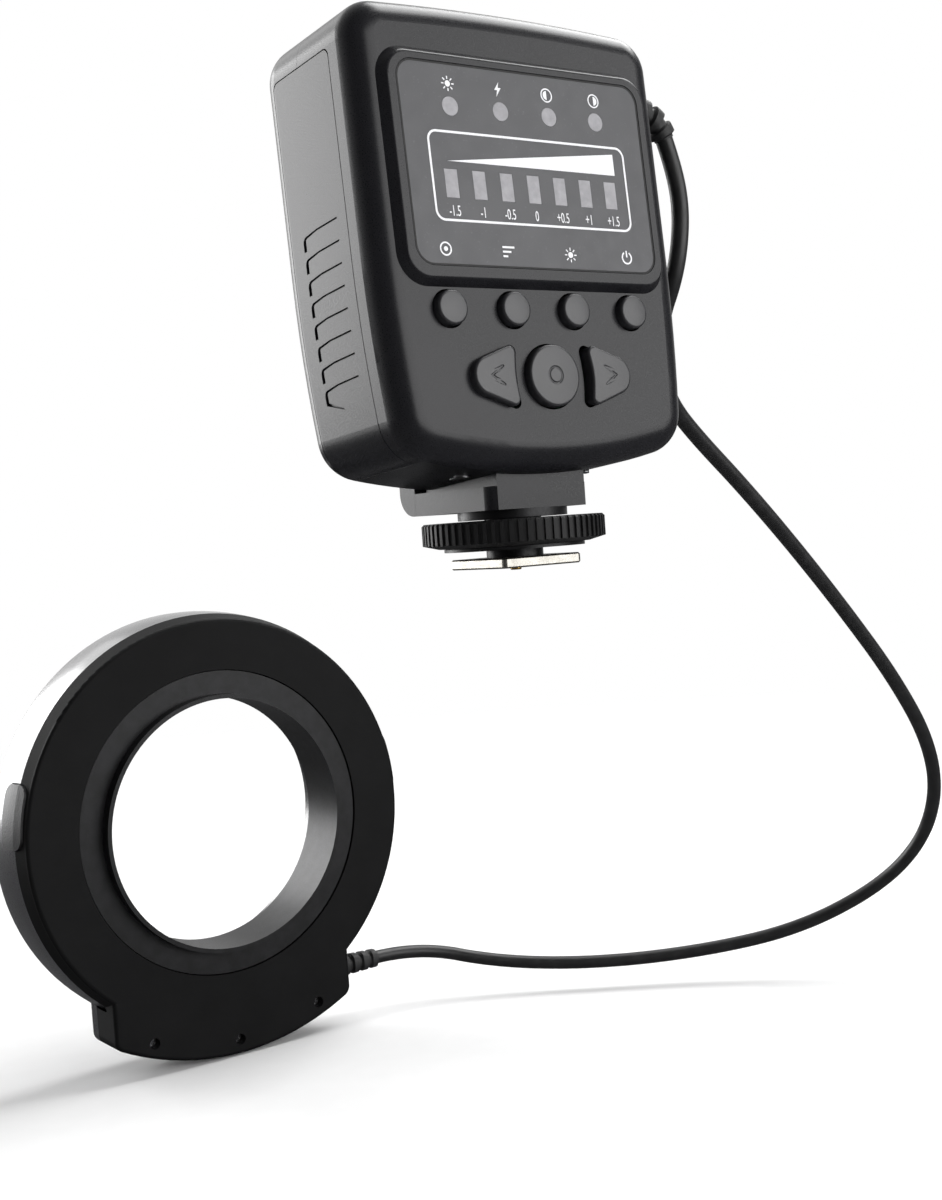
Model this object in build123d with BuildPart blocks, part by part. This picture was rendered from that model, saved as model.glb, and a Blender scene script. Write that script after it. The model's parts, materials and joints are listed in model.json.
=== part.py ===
"""Macro ring flash: a control unit on a shoe foot, a ring-shaped flash head and the cord between them.

Millimetres. The origin is the middle of the foot's underside. +X is right as the photographer stands
behind the unit, +Y runs forward along the lens axis and +Z is up.
"""
from build123d import *
import math
import os

os.makedirs("parts", exist_ok=True)

# Clearances and the overrun of cuts
overrun = 6.0
seat_gap = 0.1
slide_gap = 0.2
ring_play = 0.25
parting_gap = 0.05

# Shoe foot, stem, clamp plate and locking wheel
foot_width = 18.6
foot_length = 18.0
foot_thick = 2.0
foot_corner = 1.0
foot_edge = 0.3
rail_thick = 1.5
stem_radius = 5.5
collar_radius = 10.6
collar_thick = 1.6
tenon_radius = 7.0
tenon_height = 3.4
clamp_margin = 1.0
clamp_thick = 0.6
wheel_radius = 17.7
wheel_sole_draw = 3.1
wheel_thick = 5.0
wheel_bevel = 0.8
wheel_travel = 1.5
wheel_clear = 0.3
ridge_count = 66
ridge_depth = 0.45
ridge_width = 0.75

# Contact pin in the middle of the foot
pin_radius = 1.1
pin_travel = 0.6
pin_bore_radius = 1.9
pin_bore_depth = 6.0
pin_shoulder_thick = 0.8
pin_guide_radius = 0.7
pin_guide_reach = 1.35
pin_spring_wire = 0.15
pin_spring_turns = 6

# Foot screws
foot_screw_count = 4
foot_screw_radius = 0.8
foot_screw_head_radius = 1.4
foot_screw_head_thick = 0.7
foot_screw_length = 5.0

# Neck under the case: heights above the neck's underside
neck_width = 23.6
neck_back = 9.7
neck_seam = 15.7
neck_front = 21.0
neck_plate_height = 4.4
neck_corner = 2.5
neck_chin_round = 4.5
neck_chin_height = 8.5
riser_inset = 1.4
riser_height = 10.0
riser_seam_gap = 2.1
flange_width = 36.0
flange_near_gap = 1.2
flange_far_gap = 2.8
flange_thick = 3.0

# Case of the control unit: heights run up the leaning face from the level of the foot's middle
lean = 4.76
case_back = 19.2
case_rise = 6.0
case_wall = 2.0
case_crown = 1.2
case_low_bow = 4.4
case_straight_height = 36.6
case_draw = 2.2
case_top_corner = 7.5
case_low_corner = 8.5
case_back_round = 5.0
case_front_round = 6.5
parting_depth = 20.6

# Raised bezel and the display in it
bezel_side = 5.6
bezel_top_gap = 11.3
bezel_height = 40.6
bezel_proud = 1.8
bezel_corner = 4.6
bezel_spread = 1.3
bezel_round = 0.7
bezel_rim = 1.8
panel_lift = 0.35
panel_thick = 0.8
panel_corner = 3.6
display_ledge = 5.0
display_window_lift = 2.15
status_count = 4
status_margin = 4.3
status_top_gap = 7.9
status_radius = 1.75
level_count = 7
level_margin = 3.03
level_width = 2.8
level_height = 5.2
level_drop = 3.55
lamp_width = 1.6
lamp_height = 3.0
lamp_thick = 0.8
lamp_gap = 0.5

# Keys
key_travel = 0.6
key_gap = 0.35
key_edge = 0.5
key_flange_thick = 0.7
round_key_radius = 3.2
round_key_flange_reach = 1.05
round_key_count = 4
round_key_margin = 8.56
round_key_drop = 5.2
select_key_radius = 5.8
select_tab_width = 5.0
select_tab_reach = 2.15
side_key_space = 1.6
side_key_waist = 0.8
side_key_length = 10.0
side_key_near_half = 6.2
side_key_far_half = 2.6
side_key_near_corner = 1.3
side_key_far_corner = 3.6
side_tab_length = 3.4
side_tab_reach = 1.4
switch_size = 6.0
switch_body = 3.0
switch_plunger = 0.45
switch_plunger_radius = 1.7

# Control board and its standoffs
board_thick = 1.6
board_side_gap = 4.9
board_low_gap = 8.0
board_top_gap = 9.6
board_hole_inset = 3.0
board_hole_rise = 2.8
standoff_radius = 2.2
board_screw_radius = 0.8
board_screw_head_radius = 1.7
board_screw_head_thick = 0.8
board_screw_length = 4.6

# Battery bay
cell_radius = 7.1
cell_length = 50.0
cell_nub_radius = 2.6
cell_nub = 0.9
cell_space = 0.6
cell_count = 4
cell_low_gap = 16.2
cell_top_gap = 21.6
tray_wall = 1.2
tray_gap = 0.15
tray_clear = 0.95
contact_space = 1.3
contact_thick = 0.4
contact_height = 11.0
contact_bump_radius = 2.0

# Battery door on the left side
door_half = 10.0
door_rise = 4.55
door_corner = 1.6
door_wrap_depth = 7.9
door_travel = 8.0
door_pad_half = 6.8
door_pad_room = 3.65
door_pad_top_gap = 2.45
door_pad_thick = 4.1
door_contact_reach = 1.1
door_lip_reach = 1.0
door_lip_thick = 1.0
door_lip_gap = 0.4
door_lip_height = 6.0
door_lip_drops = (33.0, 13.0)
rib_count = 8
rib_pitch = 4.09
rib_first_drop = 29.5
rib_rear_inset = 3.2
rib_mid_inset = 10.6
rib_front_inset = 4.4
rib_bend = 0.2
rib_drop = 0.8
rib_hook = 2.6
rib_slit = 0.35
rib_hook_width = 1.0
rib_cut = 0.55
rib_outer_round = 1.2
rib_inner_round = 0.5
arrow_inset = 9.8
arrow_drop = 5.1

# Driver board, its posts, the tray's rails and the storage capacitors
driver_clear = 2.15
driver_thick = 1.4
driver_half_width = 20.0
driver_height = 48.0
driver_post_radius = 2.0
driver_post_inset = 3.0
driver_post_height = 2.0
rail_height = 3.0
rail_inset = 4.4
capacitor_radius = 4.2
capacitor_length = 21.0
capacitor_gap = 0.9
capacitor_margin = 1.8
capacitor_lift = 3.4
capacitor_rises = (12.6, 36.6)
lead_radius = 0.4
lead_spread = 3.0

# Case screws, placed from the case's side and from its top or its lower corner
case_boss_radius = 3.0
case_screw_radius = 1.1
case_screw_head_radius = 2.0
case_screw_head_thick = 1.4
case_screw_recess = 6.0
case_screw_length = 18.0
case_screw_top_inset = 7.8
case_screw_top_drop = 5.7
case_screw_low_inset = 11.9
case_screw_low_rise = 4.0

# Neck screws, beside the neck on the underside of the case
neck_screw_gap = 2.6
neck_screw_ys = (-4.9, -2.2)
neck_screw_radius = 0.6
neck_screw_head_radius = 1.0
neck_screw_head_thick = 0.5
neck_screw_rise = 6.0
neck_screw_length = 3.9

# Cord and its two boots
cord_radius = 1.8
boot_core_radius = 2.15
boot_bead_radius = 3.1
boot_bead_end_radius = 2.7
boot_bead_bevel = 0.5
boot_spigot_radius = 1.3
case_bead_count = 3
case_bead_length = 2.1
ring_bead_count = 4
ring_bead_length = 2.2
case_boot_forward = 16.2
case_boot_drop = 14.1
case_boot_bend = 8.5
case_boot_turn = 65
ring_boot_depth = 5.8
ring_boot_rise = 14.9
ring_boot_length = 12.2
boot_flange_thick = 0.8

# Adapter ring: the ring head's radii are built outwards from its thread
thread_radius = 33.5
thread_length = 3.4
adapter_wall = 1.1
adapter_shoulder = 4.2
adapter_flange_inset = 0.5
adapter_flange_thick = 2.0
adapter_length = 12.0
adapter_bevel = 1.2
groove_deep = 1.5
groove_room = 0.5
hub_play = 0.3

# Ring head: depths run forward from its back face and are built up from the release buttons
ring_back = 133.2
ring_drop = 63.8
ring_band = 17.0
ring_back_taper = 1.7
ring_seam = 4.8
ring_seam_taper = 0.6
ring_belly_gap = 8.2
ring_front_taper = 0.5
ring_rear_round = 1.0
ring_front_round = 3.0
ring_wall = 1.8
ring_back_wall = 1.6
ledge_step = 1.75
ledge_wall = 1.45
ledge_thick = 1.2
tube_wall = 1.4
lip_reach = 1.8
lip_spread = 2.0
lip_thick = 3.2
lip_gap = 0.8
window_margin = 3.6
window_thick = 1.6
window_proud = 0.4
window_ledge = 0.8
window_bridge = 11.0

# Light source in the ring head
led_board_gap = 2.0
led_board_thick = 1.6
led_board_play = 1.6
led_post_inset = 1.8
led_post_radius = 1.5
led_screw_slot = 4
led_screw_radius = 0.7
led_screw_head_radius = 1.3
led_screw_head_thick = 0.7
led_screw_length = 4.0
led_radius = 2.3
led_height = 1.7
led_dome = 1.1
led_per_side = 16
led_last_angle = 78
reflector_lift = 1.2
reflector_thick = 1.0
reflector_hole = 2.7
reflector_rim = 1.0

# Release buttons, sliders and springs of the ring head
release_up = 9.0
release_edge = 1.8
release_width = 9.4
release_height = 16.0
release_corner = 3.0
release_proud = 0.4
release_travel = 2.0
release_pill_length = 6.1
release_flange_gap = 1.0
release_flange_thick = 0.6
release_flange_extra = 2.0
slider_play = 0.5
slider_width = 2.3
slider_thick = 1.4
slider_lift = 0.3
slider_space = 0.4
slider_arm_half = 3.0
claw_gap = 0.4
claw_half = 5.0
release_spring_space = 2.1
release_spring_radius = 1.2
release_spring_wire = 0.2
release_spring_turns = 5

# Base box under the ring
box_half = 34.3
box_overlap = 0.8
box_drop = 6.3
box_arc_radius = 70.0
box_corner = 3.0
box_wall = 1.8
box_seam = 11.1
box_front_depth = 5.0
box_front_round = 1.8
box_clear = 0.4
box_screw_inset = 10.3
box_screw_side_rise = 8.3
box_screw_mid_rise = 3.8
box_boss_radius = 2.3
box_screw_radius = 0.8
box_screw_head_radius = 1.35
box_screw_head_thick = 1.2
box_screw_recess = 3.4

# Worked out: foot, wheel, contact pin and neck
datum = foot_thick / 2
clamp_bottom = foot_thick + rail_thick
wheel_bottom = clamp_bottom + clamp_thick + seat_gap
wheel_top = wheel_bottom + wheel_thick
wheel_recess = wheel_travel + seat_gap
wheel_sole_radius = wheel_radius - wheel_sole_draw
clamp_radius = wheel_sole_radius - clamp_margin
neck_bottom = wheel_top + wheel_travel + wheel_clear
collar_bottom = neck_bottom - collar_thick
pin_bore_top = foot_thick + pin_bore_depth
pin_shoulder_radius = pin_bore_radius - slide_gap
pin_shoulder_top = foot_thick + parting_gap + pin_shoulder_thick
pin_guide_length = pin_bore_top + pin_guide_reach - pin_shoulder_top
foot_screw_place_radius = (stem_radius + pin_bore_radius) / 2
neck_plate_top = neck_bottom + neck_plate_height
neck_chin_top = neck_bottom + neck_chin_height
neck_screw_x = neck_width / 2 + neck_screw_gap
neck_screw_low = neck_bottom + neck_screw_rise
riser_width = neck_width - 2 * riser_inset
riser_front = neck_seam - riser_seam_gap
riser_top = neck_bottom + riser_height

# Worked out: depths in the case, from the display inwards
inner_back = bezel_proud + case_wall
flange_depth = inner_back + parting_gap
board_depth = flange_depth + key_flange_thick + key_travel + slide_gap + switch_body + switch_plunger
tray_near = board_depth + board_thick + tray_clear
cell_depth = tray_near + tray_wall + tray_gap + cell_radius
tray_far = cell_depth + cell_radius + tray_gap + tray_wall
driver_depth = tray_far + driver_clear
inner_front = driver_depth + driver_thick + driver_post_height
case_depth = inner_front + case_wall - bezel_proud
capacitor_depth = board_depth + board_thick + capacitor_lift + capacitor_radius
door_near = cell_depth - door_half
door_far = cell_depth + door_half
door_pad_near = cell_depth - door_pad_half
door_pad_far = cell_depth + door_pad_half
flange_near = inner_back + flange_near_gap
flange_far = inner_front - flange_far_gap

# Worked out: widths in the case, which holds the cells and the capacitors side by side
left_stack = door_pad_thick + door_contact_reach
right_stack = contact_space + tray_wall + capacitor_gap + 2 * capacitor_radius + capacitor_margin + case_wall
case_half = (left_stack + cell_length + right_stack) / 2
door_pad_face = case_half - door_pad_thick
door_wrap = case_half - door_wrap_depth
cell_left = case_half - left_stack
cell_right = cell_length - cell_left
tray_left = cell_left + slide_gap
tray_right = cell_right + contact_space + tray_wall
capacitor_x = tray_right + capacitor_gap + capacitor_radius
bezel_width = 2 * (case_half - bezel_side)
panel_width = bezel_width - 2 * bezel_rim
panel_height = bezel_height - 2 * bezel_rim
display_window_width = panel_width - 2 * display_ledge
display_window_height = panel_height - 2 * display_ledge
board_width = 2 * (case_half - case_wall - board_side_gap)
board_hole_x = board_width / 2 - board_hole_inset
side_key_near = select_key_radius + side_key_space
side_key_far = side_key_near + side_key_length
status_pitch = (display_window_width - 2 * (status_radius + status_margin)) / (status_count - 1)
level_pitch = (display_window_width - level_width - 2 * level_margin) / (level_count - 1)
round_key_flange = round_key_radius + round_key_flange_reach
round_key_pitch = (bezel_width - 2 * round_key_margin) / (round_key_count - 1)
select_tab_length = 2 * (select_key_radius + select_tab_reach)

# Worked out: heights in the case, which holds the column of cells
case_bottom = neck_bottom + case_rise
case_low = case_bottom + case_low_bow
case_straight_low = case_low + case_straight_height
cell_pitch = 2 * cell_radius + cell_space
cell_first_up = case_low + cell_low_gap
cell_ups = [cell_first_up + index * cell_pitch for index in range(cell_count)]
case_top = cell_ups[-1] + cell_top_gap
tray_low = cell_ups[0] - cell_radius - tray_gap - tray_wall
tray_high = cell_ups[-1] + cell_radius + tray_gap + tray_wall
tray_mid_up = (tray_low + tray_high) / 2
driver_low = tray_mid_up - driver_height / 2
driver_high = tray_mid_up + driver_height / 2
bezel_mid = case_top - bezel_top_gap - bezel_height / 2
panel_mid = bezel_mid + panel_lift
display_window_mid = panel_mid + display_window_lift
status_up = panel_mid + panel_height / 2 - status_top_gap
level_up = panel_mid - level_drop
round_key_up = bezel_mid - bezel_height / 2 - round_key_drop
lower_key_up = round_key_up - round_key_flange - seat_gap - select_tab_reach - select_key_radius
board_low = case_low + board_low_gap
board_high = case_top - board_top_gap
board_hole_low = board_low + board_hole_rise
board_hole_high = board_high - board_hole_rise
door_high = tray_high + door_rise
door_pad_low = tray_low + tray_wall + door_travel + door_pad_room
door_pad_high = tray_high - door_pad_top_gap
case_screw_top = (case_half - case_screw_top_inset, case_top - case_screw_top_drop)
case_screw_low = (case_half - case_screw_low_inset, case_low + case_screw_low_rise)
case_boot_y = case_boot_forward - case_back
case_boot_up = case_top - case_boot_drop

# Worked out: depths in the ring head, from its back face forwards
ledge_depth = adapter_flange_inset + adapter_flange_thick + seat_gap
slider_depth_left = ledge_depth + ledge_thick + slider_lift
slider_depth_right = slider_depth_left + slider_thick + slider_space
claw_near = slider_depth_left - slide_gap
claw_far = slider_depth_right + slider_thick + slide_gap
groove_far = claw_far + groove_room
release_mid = release_edge + release_width / 2
release_flange_near = slider_depth_right + slider_thick + release_flange_gap
release_spring_depth = slider_depth_right + slider_thick + release_spring_space
led_board_depth = release_edge + release_width + led_board_gap
reflector_depth = led_board_depth + led_board_thick + reflector_lift
ring_depth = reflector_depth + reflector_thick + lip_gap + lip_thick
ring_belly = ring_depth - ring_belly_gap
tube_end = ring_depth - lip_thick - slide_gap
box_depth = box_seam + box_front_depth
box_screw_length = box_depth - box_wall + seat_gap - box_screw_recess

# Worked out: radii in the ring head, from the thread outwards
adapter_bore = thread_radius - adapter_wall
adapter_hub_radius = thread_radius + adapter_shoulder
groove_radius = adapter_hub_radius - groove_deep
claw_tip = groove_radius + claw_gap
tube_radius = adapter_hub_radius + hub_play
tube_outer_radius = tube_radius + tube_wall
ring_hole_radius = tube_radius + ledge_step
adapter_flange_radius = ring_hole_radius - ring_play
ledge_radius = ring_hole_radius + ledge_wall
lip_inner_radius = tube_radius - lip_reach
lip_outer_radius = tube_outer_radius + lip_spread
ring_belly_radius = tube_radius + ring_band
ring_back_radius = ring_belly_radius - ring_back_taper
ring_seam_radius = ring_belly_radius - ring_seam_taper
ring_front_radius = ring_belly_radius - ring_front_taper
window_outer_radius = ring_belly_radius - window_margin
led_board_inner = tube_outer_radius + led_board_play
led_board_outer = ring_belly_radius - ring_wall - led_board_play
led_place_radius = (led_board_inner + led_board_outer) / 2
led_post_place_radius = led_board_outer - led_post_inset
led_pitch_angle = 2 * led_last_angle / (led_per_side - 1)
led_screw_angle = led_last_angle - (led_screw_slot - 0.5) * led_pitch_angle
release_pill_x = ring_belly_radius - release_pill_length
release_flange_x = release_pill_x - release_travel
slider_inner = tube_outer_radius + release_travel + slider_play
slider_outer = slider_inner + slider_width

# Worked out: places in the base box, as drops below the lens axis
box_inner_radius = ring_belly_radius + box_clear
box_bottom = ring_belly_radius + box_drop
box_top = math.sqrt(ring_back_radius**2 - box_half**2) - box_overlap
box_screw_x = box_half - box_screw_inset
box_screw_side_drop = box_bottom - box_screw_side_rise
box_screw_mid_drop = box_bottom - box_screw_mid_rise
ring_boot_drop = box_bottom - ring_boot_rise

# Planes and axes
lean_sin = math.sin(math.radians(lean))
lean_cos = math.cos(math.radians(lean))
panel_plane = Plane(
    origin=(0, -case_back, datum),
    x_dir=(1, 0, 0),
    z_dir=(0, -lean_cos, lean_sin),
)
side_plane = Plane(
    origin=(0, -case_back, datum),
    x_dir=(0, lean_cos, -lean_sin),
    z_dir=(1, 0, 0),
)
ring_axis = Axis((0, 0, -ring_drop), (0, 1, 0))
ring_section = Plane(origin=(0, 0, -ring_drop), x_dir=(0, 1, 0), z_dir=(1, 0, 0))


def save(piece, name):
    """Label a finished piece and write it to its own file."""
    piece.part.label = name
    export_step(piece.part, f"parts/{name}.step")


def at_depth(depth):
    """The plane parallel to the display, this deep in the case."""
    return panel_plane.offset(-depth)


def case_half_at(up):
    """Half width of the case at a height: straight sides that draw in on an arc lower down."""
    span = case_straight_low - case_low
    sweep_radius = (span**2 + case_draw**2) / (2 * case_draw)
    below = max(case_straight_low - up, 0)
    return case_half - (sweep_radius - math.sqrt(sweep_radius**2 - below**2))


def case_block(inset):
    """The case's outer form, drawn in by an inset on every side."""
    half = case_half - inset
    shoulder = case_top - case_crown - inset
    low = case_low + inset
    with BuildPart() as block:
        with BuildSketch(at_depth(bezel_proud + inset)) as outline:
            with BuildLine():
                ThreePointArc((-half, shoulder), (0, case_top - inset), (half, shoulder))
                Line((half, shoulder), (half, case_straight_low))
                TangentArc((half, case_straight_low), (half - case_draw, low), tangent=(0, -1))
                ThreePointArc((half - case_draw, low), (0, case_bottom + inset), (case_draw - half, low))
                TangentArc((-half, case_straight_low), (case_draw - half, low), tangent=(0, -1))
                Line((-half, case_straight_low), (-half, shoulder))
            make_face()
            fillet(outline.vertices().group_by(Axis.Y)[-1], case_top_corner - inset)
            fillet(outline.vertices().group_by(Axis.Y)[0], case_low_corner - inset)
        extrude(amount=-(case_depth - 2 * inset))
        ends = block.faces().sort_by(Axis(panel_plane.origin, panel_plane.z_dir))
        fillet(ends[-1].edges(), case_back_round - inset)
        ends = block.faces().sort_by(Axis(panel_plane.origin, panel_plane.z_dir))
        fillet(ends[0].edges(), case_front_round - inset)
    return block.part


def ring_at(depth):
    """The plane across the lens axis, this far in front of the ring head's back face."""
    return Plane(origin=(0, ring_back + depth, -ring_drop), x_dir=(1, 0, 0), z_dir=(0, -1, 0))


outer_case = case_block(0)
inner_case = case_block(case_wall)
case_axis = Axis(panel_plane.origin, panel_plane.z_dir)

# Case shells
door_slot = (door_near - slide_gap, door_far + slide_gap, door_high + slide_gap)
key_places = {
    name: (index - (round_key_count - 1) / 2) * round_key_pitch
    for index, name in enumerate(["pilot_key", "mode_key", "light_key", "power_key"])
}


def door_prism(near, far, high, wrap):
    """Everything behind the door's outline on the left side, down round the lower corner."""
    with BuildPart() as prism:
        with BuildSketch(side_plane.offset(-case_half - overrun)):
            with BuildLine():
                Polyline(
                    (near, case_bottom - overrun), (far, case_bottom - overrun),
                    (far, high), (near, high), close=True,
                )
            outline = make_face()
            fillet(outline.vertices().group_by(Axis.Y)[-1], door_corner)
        extrude(amount=case_half + overrun - wrap)
    return prism.part


def side_key_sketch(side, grow):
    """A side key's outline: a waist beside the middle key and a blunt, rounded point away from it."""
    near = side_key_near - grow
    far = side_key_far + grow
    near_half = side_key_near_half + grow
    far_half = side_key_far_half + grow
    with BuildSketch() as sketch:
        with BuildLine():
            Polyline(
                (side * near, lower_key_up + near_half), (side * far, lower_key_up + far_half),
                (side * far, lower_key_up - far_half), (side * near, lower_key_up - near_half),
            )
            ThreePointArc(
                (side * near, lower_key_up - near_half),
                (side * (near + side_key_waist), lower_key_up),
                (side * near, lower_key_up + near_half),
            )
        make_face()
        away = Axis((0, 0, 0), (side, 0, 0))
        fillet(sketch.vertices().group_by(away)[-1], side_key_far_corner + grow)
        fillet(sketch.vertices().group_by(away)[0], side_key_near_corner)
    return sketch.sketch


side_key_holes = {side: side_key_sketch(side, key_gap) for side in (-1, 1)}
side_key_caps = {side: side_key_sketch(side, 0) for side in (-1, 1)}
slot_prism = door_prism(*door_slot, door_wrap - slide_gap)


def screw_places(side_values):
    """Mirror the upper and lower screw places left and right."""
    return [(side * x, up) for x, up in side_values for side in (-1, 1)]


case_screw_places = screw_places([case_screw_top, case_screw_low])
board_screw_places = screw_places([(board_hole_x, board_hole_low), (board_hole_x, board_hole_high)])
neck_screw_places = [(side * neck_screw_x, y) for side in (-1, 1) for y in neck_screw_ys]

with BuildPart() as rear_shell:
    add(outer_case)
    with BuildSketch(at_depth(0)):
        with Locations((0, bezel_mid)):
            RectangleRounded(bezel_width, bezel_height, bezel_corner)
    with BuildSketch(at_depth(bezel_proud)):
        with Locations((0, bezel_mid)):
            RectangleRounded(
                bezel_width + 2 * bezel_spread, bezel_height + 2 * bezel_spread, bezel_corner + bezel_spread
            )
    loft()
    fillet(rear_shell.faces().sort_by(case_axis)[-1].edges(), bezel_round)
    add(inner_case, mode=Mode.SUBTRACT)
    add(slot_prism, mode=Mode.SUBTRACT)
    with BuildSketch(at_depth(parting_depth - parting_gap)):
        with Locations((0, (case_top + case_bottom) / 2)):
            Rectangle(4 * case_half, 2 * case_top)
    extrude(amount=-case_depth, mode=Mode.SUBTRACT)
    with BuildSketch(at_depth(inner_back - seat_gap)):
        with Locations(*case_screw_places):
            Circle(case_boss_radius)
    extrude(amount=-(parting_depth - parting_gap - inner_back + seat_gap))
    with BuildSketch(at_depth(inner_back - seat_gap)):
        with Locations(*board_screw_places):
            Circle(standoff_radius)
    extrude(amount=-(board_depth - inner_back + seat_gap))
    with BuildSketch(at_depth(inner_back + case_wall)):
        with Locations(*case_screw_places):
            Circle(case_screw_radius + parting_gap)
    extrude(amount=-case_depth, mode=Mode.SUBTRACT)
    with BuildSketch(at_depth(inner_back + parting_gap)):
        with Locations(*board_screw_places):
            Circle(board_screw_radius + parting_gap)
    extrude(amount=-board_depth, mode=Mode.SUBTRACT)
    with BuildSketch(at_depth(-overrun)):
        with Locations((0, panel_mid)):
            RectangleRounded(panel_width + 2 * seat_gap, panel_height + 2 * seat_gap, panel_corner + seat_gap)
    extrude(amount=-(panel_thick + seat_gap + overrun), mode=Mode.SUBTRACT)
    with BuildSketch(at_depth(-overrun)):
        with Locations((0, display_window_mid)):
            Rectangle(display_window_width, display_window_height)
        with Locations(*[(x, round_key_up) for x in key_places.values()]):
            Circle(round_key_radius + key_gap)
        with Locations((0, lower_key_up)):
            Circle(select_key_radius + key_gap)
        add(side_key_holes[-1])
        add(side_key_holes[1])
    extrude(amount=-(inner_back + overrun + seat_gap), mode=Mode.SUBTRACT)
    with BuildSketch(Plane.XY.offset(neck_bottom)):
        with Locations((0, (riser_front - neck_back) / 2)):
            Rectangle(riser_width + 2 * seat_gap, riser_front + neck_back + 2 * seat_gap)
        with Locations(*neck_screw_places):
            Circle(neck_screw_radius + parting_gap)
    extrude(amount=riser_top - neck_bottom, mode=Mode.SUBTRACT)
    with BuildSketch(Plane(origin=(0, case_boot_y, case_boot_up), z_dir=(1, 0, 0))):
        Circle(boot_spigot_radius + parting_gap)
    extrude(amount=case_half + overrun, mode=Mode.SUBTRACT)
save(rear_shell, "rear_shell")

with BuildPart() as front_shell:
    add(outer_case)
    with BuildSketch(Plane.XY.offset(neck_bottom)):
        with Locations((0, (neck_seam + parting_gap + neck_front) / 2)):
            Rectangle(neck_width, neck_front - neck_seam - parting_gap)
    extrude(amount=neck_chin_top - neck_bottom)
    chin = front_shell.edges().filter_by(Axis.X).group_by(Axis.Z)[0].sort_by(Axis.Y)[-1]
    fillet(chin, neck_chin_round)
    add(inner_case, mode=Mode.SUBTRACT)
    add(slot_prism, mode=Mode.SUBTRACT)
    with BuildSketch(at_depth(parting_depth)):
        with Locations((0, (case_top + case_bottom) / 2)):
            Rectangle(4 * case_half, 2 * case_top)
    extrude(amount=case_depth, mode=Mode.SUBTRACT)
    with BuildSketch(at_depth(parting_depth)):
        with Locations(*case_screw_places):
            Circle(case_boss_radius)
    extrude(amount=-(inner_front - parting_depth + seat_gap))
    with BuildSketch(at_depth(driver_depth + driver_thick)):
        for x in (driver_post_inset - driver_half_width, driver_half_width - driver_post_inset):
            with Locations((x, driver_low + driver_post_inset), (x, driver_high - driver_post_inset)):
                Circle(driver_post_radius)
    extrude(amount=-(inner_front - driver_depth - driver_thick + seat_gap))
    with BuildSketch(at_depth(tray_far)):
        for up in (tray_low + rail_height, tray_high - rail_height):
            with Locations(((tray_right - tray_left) / 2, up)):
                Rectangle(tray_right + tray_left - 2 * rail_inset, rail_height)
    extrude(amount=-(inner_front - tray_far + seat_gap))
    with BuildSketch(Plane.XY.offset(neck_bottom)):
        with Locations((0, (riser_front - neck_back) / 2)):
            Rectangle(riser_width + 2 * seat_gap, riser_front + neck_back + 2 * seat_gap)
    extrude(amount=riser_top - neck_bottom, mode=Mode.SUBTRACT)
    with BuildSketch(at_depth(parting_depth - overrun)):
        with Locations(*case_screw_places):
            Circle(case_screw_radius + parting_gap)
    extrude(amount=-(case_depth + overrun), mode=Mode.SUBTRACT)
    with BuildSketch(at_depth(bezel_proud + case_depth + overrun)):
        with Locations(*case_screw_places):
            Circle(case_screw_head_radius + seat_gap)
    extrude(amount=case_screw_recess + overrun, mode=Mode.SUBTRACT)
save(front_shell, "front_shell")

# Neck flange: a plate on the case's floor, cut to the floor's curve
with BuildPart() as neck_flange:
    with BuildSketch(side_plane.offset(-flange_width / 2)):
        with Locations(((flange_near + flange_far) / 2, case_bottom + case_wall + flange_thick / 2)):
            Rectangle(flange_far - flange_near, flange_thick)
    extrude(amount=flange_width)
    add(inner_case, mode=Mode.INTERSECT)

# Neck bracket: a plate under the case, a riser through its floor and a flange inside
with BuildPart() as neck_bracket:
    with BuildSketch(Plane.XY.offset(neck_bottom)):
        with Locations((0, (neck_seam - neck_back) / 2)):
            Rectangle(neck_width, neck_seam + neck_back)
    extrude(amount=neck_plate_top - neck_bottom)
    fillet(neck_bracket.edges().filter_by(Axis.Z).group_by(Axis.Y)[0], neck_corner)
    add(outer_case, mode=Mode.SUBTRACT)
    with BuildSketch(Plane.XY.offset(neck_bottom)):
        with Locations((0, (riser_front - neck_back) / 2)):
            Rectangle(riser_width, riser_front + neck_back)
    extrude(amount=riser_top - neck_bottom)
    add(neck_flange.part)
    with BuildSketch(Plane.XY.offset(neck_bottom)):
        Circle(tenon_radius + parting_gap)
    extrude(amount=tenon_height + parting_gap, mode=Mode.SUBTRACT)
    with BuildSketch(Plane.XY.offset(neck_bottom)):
        Circle(pin_guide_radius + seat_gap)
    extrude(amount=2 * riser_top, mode=Mode.SUBTRACT)
    with BuildSketch(Plane.XY.offset(neck_screw_low)):
        with Locations(*neck_screw_places):
            Circle(neck_screw_radius + parting_gap)
    extrude(amount=neck_screw_length + seat_gap, mode=Mode.SUBTRACT)
save(neck_bracket, "neck_bracket")

with BuildPart() as neck_screws:
    with BuildSketch(Plane.XY.offset(neck_screw_low)):
        with Locations(*neck_screw_places):
            Circle(neck_screw_head_radius)
    extrude(amount=2 * neck_screw_head_thick + case_wall / 2)
    add(outer_case, mode=Mode.SUBTRACT)
    with BuildSketch(Plane.XY.offset(neck_screw_low)):
        with Locations(*neck_screw_places):
            Circle(neck_screw_radius)
    extrude(amount=neck_screw_length)
save(neck_screws, "neck_screws")

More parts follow.
